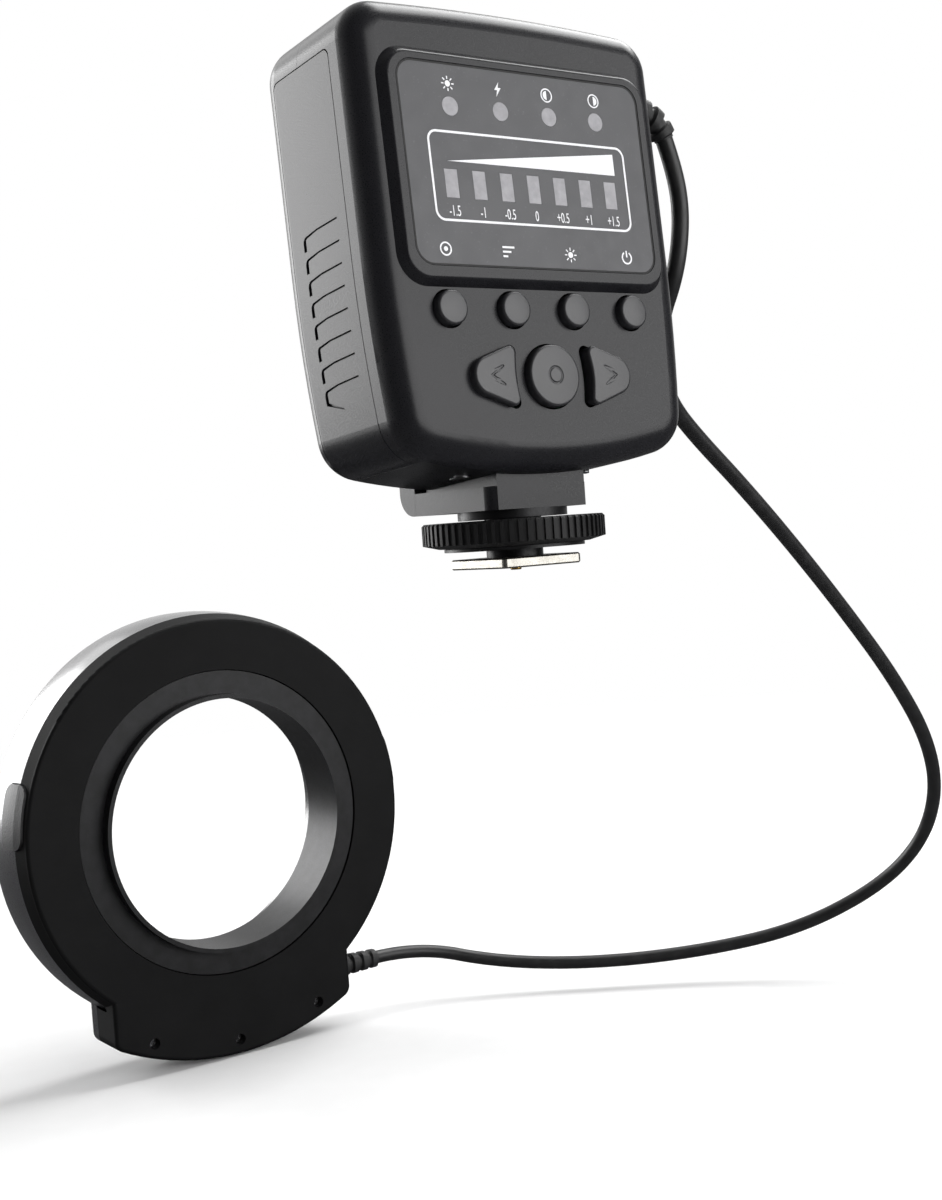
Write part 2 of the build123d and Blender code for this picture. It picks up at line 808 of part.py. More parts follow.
with BuildPart() as foot_stem:
    with BuildSketch(Plane.XY.offset(foot_thick)):
        Circle(stem_radius)
    extrude(amount=neck_bottom - foot_thick)
    with BuildSketch(Plane.XY.offset(collar_bottom)):
        Circle(collar_radius)
    extrude(amount=collar_thick)
    with BuildSketch(Plane.XY.offset(neck_bottom)):
        Circle(tenon_radius)
    extrude(amount=tenon_height)
    with BuildSketch(Plane.XY.offset(foot_thick)):
        Circle(pin_bore_radius)
        with PolarLocations(foot_screw_place_radius, foot_screw_count, start_angle=180 / foot_screw_count):
            Circle(foot_screw_radius + parting_gap)
    extrude(amount=pin_bore_top - foot_thick, mode=Mode.SUBTRACT)
    with BuildSketch(Plane.XY.offset(foot_thick)):
        Circle(pin_guide_radius + seat_gap)
    extrude(amount=neck_bottom + tenon_height, mode=Mode.SUBTRACT)
save(foot_stem, "foot_stem")

with BuildPart() as shoe_foot:
    with BuildSketch():
        RectangleRounded(foot_width, foot_length, foot_corner)
    extrude(amount=foot_thick)
    chamfer(shoe_foot.faces().filter_by(Axis.Z).edges(), foot_edge)
    with BuildSketch():
        Circle(pin_radius + seat_gap)
        with PolarLocations(foot_screw_place_radius, foot_screw_count, start_angle=180 / foot_screw_count):
            Circle(foot_screw_radius + parting_gap)
    extrude(amount=foot_thick, mode=Mode.SUBTRACT)
    with BuildSketch():
        with PolarLocations(foot_screw_place_radius, foot_screw_count, start_angle=180 / foot_screw_count):
            Circle(foot_screw_head_radius + parting_gap)
    extrude(amount=foot_screw_head_thick + parting_gap, mode=Mode.SUBTRACT)
save(shoe_foot, "shoe_foot")

with BuildPart() as foot_screws:
    with BuildSketch(Plane.XY.offset(parting_gap)):
        with PolarLocations(foot_screw_place_radius, foot_screw_count, start_angle=180 / foot_screw_count):
            Circle(foot_screw_head_radius)
    extrude(amount=foot_screw_head_thick)
    with BuildSketch(Plane.XY.offset(parting_gap)):
        with PolarLocations(foot_screw_place_radius, foot_screw_count, start_angle=180 / foot_screw_count):
            Circle(foot_screw_radius)
    extrude(amount=foot_screw_length)
save(foot_screws, "foot_screws")

with BuildPart() as clamp_plate:
    with BuildSketch(Plane.XY.offset(clamp_bottom)):
        Circle(clamp_radius)
        Circle(stem_radius + seat_gap, mode=Mode.SUBTRACT)
    extrude(amount=clamp_thick)
save(clamp_plate, "clamp_plate")

# Locking wheel: a bevelled disc with ridges round its rim and a recess that the collar enters
groove_width = 2 * math.pi * wheel_radius / ridge_count - ridge_width
with BuildPart() as locking_wheel:
    with BuildSketch(Plane.XZ):
        with BuildLine():
            Polyline(
                (stem_radius + seat_gap, wheel_bottom),
                (wheel_sole_radius, wheel_bottom),
                (wheel_radius, wheel_bottom + wheel_bevel),
                (wheel_radius, wheel_top - ridge_depth),
                (wheel_radius - ridge_depth, wheel_top),
                (collar_radius + ridge_depth, wheel_top),
                (collar_radius + ridge_depth, wheel_top - wheel_recess),
                (stem_radius + seat_gap, wheel_top - wheel_recess),
                close=True,
            )
        make_face()
    revolve(axis=Axis.Z)
    with BuildSketch(Plane.XY.offset(wheel_bottom)):
        with PolarLocations(wheel_radius, ridge_count):
            Rectangle(2 * ridge_depth, groove_width)
    extrude(amount=wheel_thick, mode=Mode.SUBTRACT)
save(locking_wheel, "locking_wheel")

# Contact pin and its spring in the stem's bore
with BuildPart() as contact_pin:
    with BuildSketch(Plane.XY.offset(-pin_travel)):
        Circle(pin_radius)
    extrude(amount=pin_travel + foot_thick + parting_gap)
    fillet(contact_pin.faces().sort_by(Axis.Z)[0].edges(), pin_travel / 2)
    with BuildSketch(Plane.XY.offset(foot_thick + parting_gap)):
        Circle(pin_shoulder_radius)
    extrude(amount=pin_shoulder_thick)
    with BuildSketch(Plane.XY.offset(pin_shoulder_top)):
        Circle(pin_guide_radius)
    extrude(amount=pin_guide_length)
save(contact_pin, "contact_pin")

with BuildPart() as contact_spring:
    spring_low = pin_shoulder_top + pin_spring_wire + parting_gap
    spring_high = pin_bore_top - pin_spring_wire - parting_gap
    with BuildLine():
        coil = Helix(
            pitch=(spring_high - spring_low) / pin_spring_turns,
            height=spring_high - spring_low,
            radius=(pin_guide_radius + pin_bore_radius) / 2,
            center=(0, 0, spring_low),
        )
    with BuildSketch(Plane(origin=coil @ 0, z_dir=coil % 0)):
        Circle(pin_spring_wire)
    sweep(is_frenet=True)
save(contact_spring, "contact_spring")

# Display: the printed panel and the light windows that pass through it
status_xs = [(index - (status_count - 1) / 2) * status_pitch for index in range(status_count)]
level_xs = [(index - (level_count - 1) / 2) * level_pitch for index in range(level_count)]
window_end = board_depth - lamp_thick - lamp_gap

with BuildPart() as display_overlay:
    with BuildSketch(at_depth(seat_gap)):
        with Locations((0, panel_mid)):
            RectangleRounded(panel_width, panel_height, panel_corner)
        with Locations(*[(x, status_up) for x in status_xs]):
            Circle(status_radius + parting_gap, mode=Mode.SUBTRACT)
        with Locations(*[(x, level_up) for x in level_xs]):
            Rectangle(level_width + 2 * parting_gap, level_height + 2 * parting_gap, mode=Mode.SUBTRACT)
    extrude(amount=-panel_thick)
save(display_overlay, "display_overlay")

with BuildPart() as status_windows:
    with BuildSketch(at_depth(seat_gap)):
        with Locations(*[(x, status_up) for x in status_xs]):
            Circle(status_radius)
    extrude(amount=-(window_end - seat_gap))
save(status_windows, "status_windows")

with BuildPart() as level_windows:
    with BuildSketch(at_depth(seat_gap)):
        with Locations(*[(x, level_up) for x in level_xs]):
            Rectangle(level_width, level_height)
    extrude(amount=-(window_end - seat_gap))
save(level_windows, "level_windows")

with BuildPart() as status_leds:
    with BuildSketch(at_depth(board_depth)):
        with Locations(*[(x, status_up) for x in status_xs]):
            Rectangle(lamp_width, lamp_height)
    extrude(amount=lamp_thick)
save(status_leds, "status_leds")

with BuildPart() as level_leds:
    with BuildSketch(at_depth(board_depth)):
        with Locations(*[(x, level_up) for x in level_xs]):
            Rectangle(lamp_width, lamp_height)
    extrude(amount=lamp_thick)
save(level_leds, "level_leds")

# Keys: a cap through the case and a flange behind the case's wall
def round_key(x, up, radius):
    """A round key with a round flange."""
    with BuildPart() as key:
        with BuildSketch(at_depth(flange_depth)):
            with Locations((x, up)):
                Circle(radius)
        extrude(amount=flange_depth)
        fillet(key.faces().sort_by(case_axis)[-1].edges(), key_edge)
        with BuildSketch(at_depth(flange_depth)):
            with Locations((x, up)):
                Circle(round_key_flange)
        extrude(amount=-key_flange_thick)
    return key


def side_key(side):
    """One of the two keys beside the middle one, with three tabs behind the case's wall."""
    middle = (side_key_near + side_key_far) / 2
    half = side_key_near_half + side_tab_reach
    with BuildPart() as key:
        with BuildSketch(at_depth(flange_depth)):
            add(side_key_caps[side])
        extrude(amount=flange_depth)
        fillet(key.faces().sort_by(case_axis)[-1].edges(), key_edge)
        with BuildSketch(at_depth(flange_depth)):
            add(side_key_caps[side])
            with Locations((side * middle, lower_key_up)):
                Rectangle(side_tab_length, 2 * half)
            with Locations((side * (side_key_far - side_key_far_corner + side_tab_reach / 2), lower_key_up)):
                Rectangle(2 * side_key_far_corner + side_tab_reach, side_tab_length)
        extrude(amount=-key_flange_thick)
    return key


for name, x in key_places.items():
    save(round_key(x, round_key_up, round_key_radius), name)
save(side_key(-1), "down_key")
save(side_key(1), "up_key")

with BuildPart() as select_key:
    with BuildSketch(at_depth(flange_depth)):
        with Locations((0, lower_key_up)):
            Circle(select_key_radius)
    extrude(amount=flange_depth)
    fillet(select_key.faces().sort_by(case_axis)[-1].edges(), key_edge)
    with BuildSketch(at_depth(flange_depth)):
        with Locations((0, lower_key_up)):
            Circle(select_key_radius)
            Rectangle(select_tab_width, select_tab_length)
    extrude(amount=-key_flange_thick)
save(select_key, "select_key")

# Control board, its screws and the key switches on it
side_key_mid = (side_key_near + side_key_far) / 2
switch_places = [(x, round_key_up) for x in key_places.values()]
switch_places += [(x, lower_key_up) for x in (-side_key_mid, 0, side_key_mid)]

with BuildPart() as control_board:
    with BuildSketch(at_depth(board_depth)):
        with Locations((0, (board_low + board_high) / 2)):
            Rectangle(board_width, board_high - board_low)
        with Locations(*board_screw_places):
            Circle(board_screw_radius + parting_gap, mode=Mode.SUBTRACT)
    extrude(amount=-board_thick)
save(control_board, "control_board")

with BuildPart() as control_board_screws:
    with BuildSketch(at_depth(board_depth + board_thick)):
        with Locations(*board_screw_places):
            Circle(board_screw_head_radius)
    extrude(amount=-board_screw_head_thick)
    with BuildSketch(at_depth(board_depth + board_thick)):
        with Locations(*board_screw_places):
            Circle(board_screw_radius)
    extrude(amount=board_screw_length)
save(control_board_screws, "control_board_screws")

with BuildPart() as key_switches:
    with BuildSketch(at_depth(board_depth)):
        with Locations(*switch_places):
            Rectangle(switch_size, switch_size)
    extrude(amount=switch_body)
    with BuildSketch(at_depth(board_depth)):
        with Locations(*switch_places):
            Circle(switch_plunger_radius)
    extrude(amount=switch_body + switch_plunger)
save(key_switches, "key_switches")

# Storage capacitors, standing along the right side on their leads
with BuildPart() as storage_capacitors:
    for up in [board_low + rise for rise in capacitor_rises]:
        with BuildSketch(Plane(
            origin=panel_plane.from_local_coords((capacitor_x, up - capacitor_length / 2, -capacitor_depth)),
            z_dir=panel_plane.y_dir,
        )):
            Circle(capacitor_radius)
        extrude(amount=capacitor_length)
        with BuildSketch(at_depth(board_depth + board_thick)):
            with Locations((capacitor_x, up - lead_spread / 2), (capacitor_x, up + lead_spread / 2)):
                Circle(lead_radius)
        extrude(amount=-(capacitor_depth - board_depth - board_thick))
save(storage_capacitors, "storage_capacitors")

with BuildPart() as driver_board:
    with BuildSketch(at_depth(driver_depth)):
        with Locations((0, (driver_low + driver_high) / 2)):
            Rectangle(2 * driver_half_width, driver_high - driver_low)
    extrude(amount=-driver_thick)
save(driver_board, "driver_board")

# Battery tray, cells and their contacts
with BuildPart() as battery_tray:
    with BuildSketch(at_depth(tray_near)):
        with Locations(((tray_right - tray_left) / 2, tray_mid_up)):
            Rectangle(tray_right + tray_left, tray_high - tray_low)
    extrude(amount=-(tray_far - tray_near))
    with BuildSketch(at_depth(tray_near + tray_wall)):
        with Locations(((tray_right - tray_left) / 2 - tray_wall, tray_mid_up)):
            Rectangle(tray_right + tray_left, tray_high - tray_low - 2 * tray_wall)
    extrude(amount=-(tray_far - tray_near - 2 * tray_wall), mode=Mode.SUBTRACT)
save(battery_tray, "battery_tray")

with BuildPart() as battery_cells:
    for index, up in enumerate(cell_ups):
        can_left = -cell_left + cell_nub * (index % 2)
        with BuildSketch(side_plane.offset(can_left)):
            with Locations((cell_depth, up)):
                Circle(cell_radius)
        extrude(amount=cell_length - cell_nub)
        with BuildSketch(side_plane.offset(-cell_left)):
            with Locations((cell_depth, up)):
                Circle(cell_nub_radius)
        extrude(amount=cell_length)
save(battery_cells, "battery_cells")

with BuildPart() as battery_contacts:
    wall_face = side_plane.offset(tray_right - tray_wall)
    with BuildSketch(wall_face):
        for pair in (cell_ups[:2], cell_ups[2:]):
            with Locations((cell_depth, sum(pair) / 2)):
                Rectangle(contact_height, cell_pitch + contact_height)
    extrude(amount=-contact_thick)
    with BuildSketch(wall_face):
        with Locations(*[(cell_depth, up) for up in cell_ups]):
            Circle(contact_bump_radius)
    extrude(amount=-(contact_space - parting_gap))
save(battery_contacts, "battery_contacts")

# Battery door: a piece of the case's wall with a pad, two pairs of lips and grip grooves
rib_rear = door_near + rib_rear_inset
rib_mid = door_near + rib_mid_inset
rib_front = door_far - rib_front_inset
arrow_rear = door_near + arrow_inset
rib_tops = [door_high - rib_first_drop - index * rib_pitch for index in range(rib_count)]

with BuildPart() as rib_grooves:
    with BuildSketch(side_plane.offset(-case_half - overrun)) as grooves:
        for top in rib_tops:
            with BuildLine():
                Polyline(
                    (rib_rear, top), (rib_mid, top - rib_bend), (rib_front, top - rib_drop),
                    (rib_front, top - rib_drop - rib_hook),
                    (rib_front - rib_hook_width, top - rib_drop - rib_hook),
                    (rib_front - rib_hook_width, top - rib_drop - rib_slit),
                    (rib_mid, top - rib_bend - rib_slit), (rib_rear, top - rib_slit),
                    close=True,
                )
            make_face()
            outer = (rib_front, top - rib_drop)
            inner = (rib_front - rib_hook_width, top - rib_drop - rib_slit)
            fillet(grooves.vertices().sort_by_distance(outer)[0], rib_outer_round)
            fillet(grooves.vertices().sort_by_distance(inner)[0], rib_inner_round)
        arrow_end = rib_tops[-1] - rib_drop - rib_hook
        with BuildLine():
            Polyline(
                (rib_front, arrow_end), (rib_front - rib_hook_width, arrow_end + rib_slit),
                (arrow_rear, rib_tops[-1] - arrow_drop + rib_slit), (arrow_rear, rib_tops[-1] - arrow_drop),
                close=True,
            )
        make_face()
    extrude(amount=overrun + case_wall)
    add(case_block(rib_cut), mode=Mode.SUBTRACT)

with BuildPart() as battery_door:
    add(outer_case)
    add(inner_case, mode=Mode.SUBTRACT)
    add(door_prism(door_near, door_far, door_high, door_wrap), mode=Mode.INTERSECT)
    with BuildSketch(side_plane.offset(-door_pad_face)):
        with Locations(((door_pad_near + door_pad_far) / 2, (door_pad_low + door_pad_high) / 2)):
            Rectangle(door_pad_far - door_pad_near, door_pad_high - door_pad_low)
    extrude(amount=-(case_half - case_wall / 2 - door_pad_face))
    with BuildSketch(side_plane.offset(case_wall + door_lip_gap - case_half)):
        with Locations(*[((door_near + door_far) / 2, door_high - drop) for drop in door_lip_drops]):
            Rectangle(door_far - door_near + 2 * door_lip_reach, door_lip_height)
    extrude(amount=door_lip_thick)
    add(rib_grooves.part, mode=Mode.SUBTRACT)
save(battery_door, "battery_door")

with BuildPart() as door_contacts:
    pad_face = side_plane.offset(-door_pad_face)
    with BuildSketch(pad_face):
        with Locations((cell_depth, sum(cell_ups[1:3]) / 2)):
            Rectangle(contact_height, cell_pitch + contact_height)
        for up in (cell_ups[0] + cell_nub_radius, cell_ups[3]):
            with Locations((cell_depth, up)):
                Rectangle(contact_height, contact_height / 2)
    extrude(amount=contact_thick)
    with BuildSketch(pad_face):
        with Locations(*[(cell_depth, up) for up in cell_ups[1:]]):
            Circle(contact_bump_radius)
    extrude(amount=door_pad_face - cell_left - parting_gap)
save(door_contacts, "door_contacts")

with BuildPart() as case_screws:
    seat_depth = bezel_proud + case_depth - case_screw_recess
    with BuildSketch(at_depth(seat_depth)):
        with Locations(*case_screw_places):
            Circle(case_screw_head_radius)
    extrude(amount=-case_screw_head_thick)
    with BuildSketch(at_depth(seat_depth)):
        with Locations(*case_screw_places):
            Circle(case_screw_radius)
    extrude(amount=case_screw_length)
save(case_screws, "case_screws")


# Cord and its two boots
def bead(place, radius, length):
    """One bevelled bead of a boot, centred on a plane."""
    with BuildPart() as ring:
        with BuildSketch(place):
            Circle(radius)
        extrude(amount=length / 2, both=True)
        chamfer(ring.edges().filter_by(GeomType.CIRCLE), boot_bead_bevel)
    return ring.part


def bead_radius(index, count):
    """Beads get smaller towards the cord."""
    return boot_bead_radius + (boot_bead_end_radius - boot_bead_radius) * index / (count - 1)


def bend_point(angle, radius):
    """A point round the centre of the boot's bend, with the angle counted from straight up."""
    return Vector(
        case_half + radius * math.sin(angle),
        case_boot_y,
        case_boot_up - case_boot_bend + radius * math.cos(angle),
    )


# The bent boot's core is straight between beads, and each turn is inside a bead
bead_angles = [
    math.radians(case_boot_turn) * (index + 0.5) / case_bead_count for index in range(case_bead_count)
]
bead_corners = [bend_point(angle, case_boot_bend / math.cos(bead_angles[0])) for angle in bead_angles]
core_points = [
    bend_point(0, case_boot_bend), *bead_corners, bend_point(math.radians(case_boot_turn), case_boot_bend),
]

with BuildPart() as cord_boot_controller:
    with BuildSketch(Plane(origin=core_points[0], z_dir=(1, 0, 0))):
        Circle(boot_bead_radius)
    extrude(amount=boot_flange_thick)
    with BuildSketch(Plane(origin=core_points[0], z_dir=(1, 0, 0))):
        Circle(boot_spigot_radius)
    extrude(amount=-case_wall)
    for before, after in zip(core_points, core_points[1:]):
        with BuildSketch(Plane(origin=before, z_dir=after - before)):
            Circle(boot_core_radius)
        extrude(amount=(after - before).length)
    for index, angle in enumerate(bead_angles):
        place = Plane(origin=bead_corners[index], z_dir=(math.cos(angle), 0, -math.sin(angle)))
        add(bead(place, bead_radius(index, case_bead_count), case_bead_length))
save(cord_boot_controller, "cord_boot_controller")

ring_boot_place = (box_half, ring_back + ring_boot_depth, -ring_drop - ring_boot_drop)
with BuildPart() as cord_boot_ring:
    with BuildSketch(Plane(origin=ring_boot_place, z_dir=(1, 0, 0))):
        Circle(boot_core_radius)
    extrude(amount=ring_boot_length)
    with BuildSketch(Plane(origin=ring_boot_place, z_dir=(1, 0, 0))):
        Circle(boot_bead_radius)
    extrude(amount=boot_flange_thick)
    with BuildSketch(Plane(origin=ring_boot_place, z_dir=(1, 0, 0))):
        Circle(boot_spigot_radius)
    extrude(amount=-box_wall)
    bead_pitch = (ring_boot_length - boot_flange_thick) / ring_bead_count
    for index in range(ring_bead_count):
        along = boot_flange_thick + (index + 0.5) * bead_pitch
        place = Plane(origin=Vector(*ring_boot_place) + Vector(along, 0, 0), z_dir=(1, 0, 0))
        add(bead(place, bead_radius(index, ring_bead_count), ring_bead_length))
save(cord_boot_ring, "cord_boot_ring")

cord_route = [
    (43.1, -3, 84.59), (45.6, -3, 79.2), (46.6, -3.6, 71.3), (46, -4.3, 63.5), (44.4, -3, 56),
    (44, 1.5, 49), (46.5, 7, 40.5), (52, 11, 32.5), (60, 13, 24.5), (75, 15, 12), (93, 18, -3.5),
    (112, 21, -20.5), (132, 24, -39), (151, 29, -57), (163, 36, -73), (168, 46, -88), (163, 58, -101),
    (147, 74, -112), (126, 92, -117), (102, 110, -118.5), (80, 127, -116.5), (61, 139, -110.2),
    (46.5, 139, -110.2),
]
corners = [Vector(*point) for point in cord_route]
arc_run_share = 0.45
runs = [after - before for before, after in zip(corners, corners[1:])]
cord_radii = []
for run, next_run in zip(runs, runs[1:]):
    half_turn = math.radians(run.get_angle(next_run)) / 2
    cord_radii.append(arc_run_share * min(run.length, next_run.length) / math.tan(half_turn))

with BuildPart() as cord:
    with BuildLine():
        cord_path = FilletPolyline(*cord_route, radius=cord_radii)
    with BuildSketch(Plane(origin=cord_path @ 0, z_dir=cord_path % 0)):
        Circle(cord_radius)
    sweep(path=cord_path)
save(cord, "cord")
print("cord runs", [round(run.length, 1) for run in runs])
print("cord arc radii", [round(radius, 1) for radius in cord_radii])
print("cord length", round(cord_path.length, 1), "volume", round(cord.part.volume, 1),
      "section times length", round(math.pi * cord_radius**2 * cord_path.length, 1))


# Ring head
def box_outline(inset):
    """The base box seen from behind, drawn in by an inset."""
    half = box_half - inset
    arc = box_arc_radius - inset
    low = box_bottom - inset
    side = low - arc + math.sqrt(arc**2 - half**2)
    with BuildSketch() as outline:
        with BuildLine():
            Polyline((-half, -side), (-half, -box_top), (half, -box_top), (half, -side))
            ThreePointArc((half, -side), (0, -low), (-half, -side))
        make_face()
        fillet(outline.vertices().group_by(Axis.Y)[0], box_corner - inset)
    return outline.sketch


box_screw_places = [
    (-box_screw_x, -box_screw_side_drop), (0, -box_screw_mid_drop), (box_screw_x, -box_screw_side_drop),
]
led_screw_places = [
    (
        x_side * led_post_place_radius * math.cos(math.radians(led_screw_angle)),
        y_side * led_post_place_radius * math.sin(math.radians(led_screw_angle)),
    )
    for x_side in (-1, 1) for y_side in (-1, 1)
]
def release_plane(side, x):
    """The plane across a release button's line of travel, this far from the lens axis."""
    return Plane(
        origin=(side * x, ring_back + release_mid, release_up - ring_drop),
        x_dir=(0, 1, 0),
        z_dir=(side, 0, 0),
    )


with BuildPart() as ring_rear_cover:
    with BuildSketch(ring_at(0)):
        add(box_outline(0))
    extrude(amount=-box_seam)
    fillet(ring_rear_cover.faces().sort_by(Axis.Y)[0].edges(), ring_rear_round)
    with BuildSketch(ring_at(ring_back_wall)):
        add(box_outline(box_wall))
    extrude(amount=-box_seam, mode=Mode.SUBTRACT)
    with BuildSketch(ring_at(ring_back_wall)):
        with Locations(*box_screw_places):
            Circle(box_boss_radius)
    extrude(amount=-(box_seam - ring_back_wall))
    with BuildSketch(ring_at(ring_seam)):
        Circle(box_inner_radius)
    extrude(amount=-box_seam, mode=Mode.SUBTRACT)
    with BuildSketch(ring_at(0)):
        Circle(ring_back_radius - ring_wall)
    extrude(amount=-box_seam, mode=Mode.SUBTRACT)
    with BuildSketch(ring_section):
        with BuildLine():
            Polyline(
                (ring_back, ring_hole_radius),
                (ring_back, ring_back_radius - ring_rear_round),
            )
            TangentArc(
                (ring_back, ring_back_radius - ring_rear_round),
                (ring_back + ring_rear_round, ring_back_radius),
                tangent=(0, 1),
            )
            Polyline(
                (ring_back + ring_rear_round, ring_back_radius),
                (ring_back + ring_seam, ring_seam_radius),
                (ring_back + ring_seam, ring_seam_radius - ring_wall),
                (ring_back + ring_back_wall, ring_back_radius - ring_wall),
                (ring_back + ring_back_wall, ledge_radius),
                (ring_back + ledge_depth + ledge_thick, ledge_radius),
                (ring_back + ledge_depth + ledge_thick, tube_outer_radius),
                (ring_back + tube_end, tube_outer_radius),
                (ring_back + tube_end, tube_radius),
                (ring_back + ledge_depth, tube_radius),
                (ring_back + ledge_depth, ring_hole_radius),
                (ring_back, ring_hole_radius),
            )
        make_face()
    revolve(axis=ring_axis)
    with BuildSketch(ring_at(ring_back_wall)):
        with Locations(*led_screw_places):
            Circle(led_post_radius)
    extrude(amount=-(led_board_depth - ring_back_wall))
    with BuildSketch(ring_at(led_board_depth)):
        with Locations(*led_screw_places):
            Circle(led_screw_radius + parting_gap)
    extrude(amount=led_board_depth - ring_back_wall, mode=Mode.SUBTRACT)
    with BuildSketch(ring_at(claw_near)):
        Rectangle(2 * ledge_radius, 2 * (claw_half + slide_gap))
    extrude(amount=-(claw_far - claw_near), mode=Mode.SUBTRACT)
    for side in (-1, 1):
        with BuildSketch(release_plane(side, release_pill_x)):
            RectangleRounded(
                release_width + 2 * slide_gap, release_height + 2 * slide_gap, release_corner + slide_gap
            )
        extrude(amount=ring_belly_radius, mode=Mode.SUBTRACT)
    with BuildSketch(ring_at(-overrun)):
        with Locations(*box_screw_places):
            Circle(box_screw_head_radius + parting_gap)
    extrude(amount=-(overrun + box_screw_recess), mode=Mode.SUBTRACT)
    with BuildSketch(ring_at(0)):
        with Locations(*box_screw_places):
            Circle(box_screw_radius + parting_gap)
    extrude(amount=-box_depth, mode=Mode.SUBTRACT)
    with BuildSketch(Plane(origin=ring_boot_place, z_dir=(1, 0, 0))):
        Circle(boot_spigot_radius + parting_gap)
    extrude(amount=-box_wall, mode=Mode.SUBTRACT)
save(ring_rear_cover, "ring_rear_cover")

with BuildPart() as ring_front_cover:
    with BuildSketch(ring_at(box_seam + parting_gap)):
        add(box_outline(0))
    extrude(amount=-(box_depth - box_seam - parting_gap))
    fillet(ring_front_cover.faces().sort_by(Axis.Y)[-1].edges(), box_front_round)
    with BuildSketch(ring_at(box_seam)):
        add(box_outline(box_wall))
    extrude(amount=-(box_depth - box_wall - box_seam), mode=Mode.SUBTRACT)
    with BuildSketch(ring_at(box_seam + parting_gap)):
        with Locations(*box_screw_places):
            Circle(box_boss_radius)
    extrude(amount=-(box_depth - box_wall - box_seam))
    with BuildSketch(ring_at(box_seam)):
        Circle(ring_seam_radius - ring_wall / 2)
    extrude(amount=-box_depth, mode=Mode.SUBTRACT)
    with BuildSketch(ring_section):
        with BuildLine():
            ThreePointArc(
                (ring_back + ring_seam + parting_gap, ring_seam_radius),
                (ring_back + ring_belly, ring_belly_radius),
                (ring_back + ring_depth, ring_front_radius),
            )
            Polyline(
                (ring_back + ring_depth, ring_front_radius),
                (ring_back + ring_depth, lip_inner_radius),
                (ring_back + ring_depth - lip_thick, lip_inner_radius),
                (ring_back + ring_depth - lip_thick, ring_front_radius - ring_wall),
                (ring_back + ring_belly, ring_belly_radius - ring_wall),
                (ring_back + ring_seam + parting_gap, ring_seam_radius - ring_wall),
                (ring_back + ring_seam + parting_gap, ring_seam_radius),
            )
        profile = make_face()
        front_corner = profile.vertices().group_by(Axis.X)[-1].sort_by(Axis.Y)[-1]
        fillet(front_corner, ring_front_round)
    revolve(axis=ring_axis)
    with BuildSketch(ring_at(ring_depth - lip_thick - overrun)):
        Circle(window_outer_radius - window_ledge)
        Circle(lip_outer_radius + window_ledge, mode=Mode.SUBTRACT)
        Rectangle(window_bridge, 2 * ring_belly_radius, mode=Mode.SUBTRACT)
    extrude(amount=-(lip_thick + 2 * overrun), mode=Mode.SUBTRACT)
    with BuildSketch(ring_at(ring_depth + window_proud - window_thick)):
        Circle(window_outer_radius)
        Circle(lip_outer_radius, mode=Mode.SUBTRACT)
        Rectangle(window_bridge, 2 * ring_belly_radius, mode=Mode.SUBTRACT)
    extrude(amount=-window_thick, mode=Mode.SUBTRACT)
    for side in (-1, 1):
        with BuildSketch(release_plane(side, release_pill_x)):
            RectangleRounded(
                release_width + 2 * slide_gap, release_height + 2 * slide_gap, release_corner + slide_gap
            )
        extrude(amount=ring_belly_radius, mode=Mode.SUBTRACT)
    with BuildSketch(ring_at(box_seam)):
        with Locations(*box_screw_places):
            Circle(box_screw_radius + parting_gap)
    extrude(amount=-(box_screw_recess + box_screw_length - box_seam + seat_gap), mode=Mode.SUBTRACT)
save(ring_front_cover, "ring_front_cover")

with BuildPart() as ring_screws:
    with BuildSketch(ring_at(box_screw_recess)):
        with Locations(*box_screw_places):
            Circle(box_screw_head_radius)
    extrude(amount=box_screw_head_thick)
    with BuildSketch(ring_at(box_screw_recess)):
        with Locations(*box_screw_places):
            Circle(box_screw_radius)
    extrude(amount=-box_screw_length)
save(ring_screws, "ring_screws")

# Windows and light source of the ring head
for side, name in ((-1, "ring_window_left"), (1, "ring_window_right")):
    with BuildPart() as window:
        with BuildSketch(ring_at(ring_depth + window_proud - window_thick)):
            Circle(window_outer_radius - seat_gap)
            Circle(lip_outer_radius + seat_gap, mode=Mode.SUBTRACT)
            with Locations((-side * (ring_belly_radius - window_bridge / 2 - seat_gap), 0)):
                Rectangle(2 * ring_belly_radius, 2 * ring_belly_radius, mode=Mode.SUBTRACT)
        extrude(amount=-window_thick)
        chamfer(window.faces().sort_by(Axis.Y)[-1].edges(), window_proud / 2)
    save(window, name)

with BuildPart() as led_board:
    with BuildSketch(ring_at(led_board_depth)):
        Circle(led_board_outer)
        Circle(led_board_inner, mode=Mode.SUBTRACT)
        with Locations(*led_screw_places):
            Circle(led_screw_radius + parting_gap, mode=Mode.SUBTRACT)
    extrude(amount=-led_board_thick)
save(led_board, "led_board")

with BuildPart() as led_board_screws:
    with BuildSketch(ring_at(led_board_depth + led_board_thick)):
        with Locations(*led_screw_places):
            Circle(led_screw_head_radius)
    extrude(amount=-led_screw_head_thick)
    with BuildSketch(ring_at(led_board_depth + led_board_thick)):
        with Locations(*led_screw_places):
            Circle(led_screw_radius)
    extrude(amount=led_screw_length)
save(led_board_screws, "led_board_screws")

led_places = []
for index in range(led_per_side):
    angle = math.radians(index * led_pitch_angle - led_last_angle)
    for side in (-1, 1):
        led_places.append((side * led_place_radius * math.cos(angle), led_place_radius * math.sin(angle)))

with BuildPart() as led_emitters:
    with BuildSketch(ring_at(led_board_depth + led_board_thick)):
        with Locations(*led_places):
            Circle(led_radius)
    extrude(amount=-led_height)
    fillet(led_emitters.edges().filter_by(GeomType.CIRCLE).group_by(Axis.Y)[-1], led_dome)
save(led_emitters, "led_emitters")

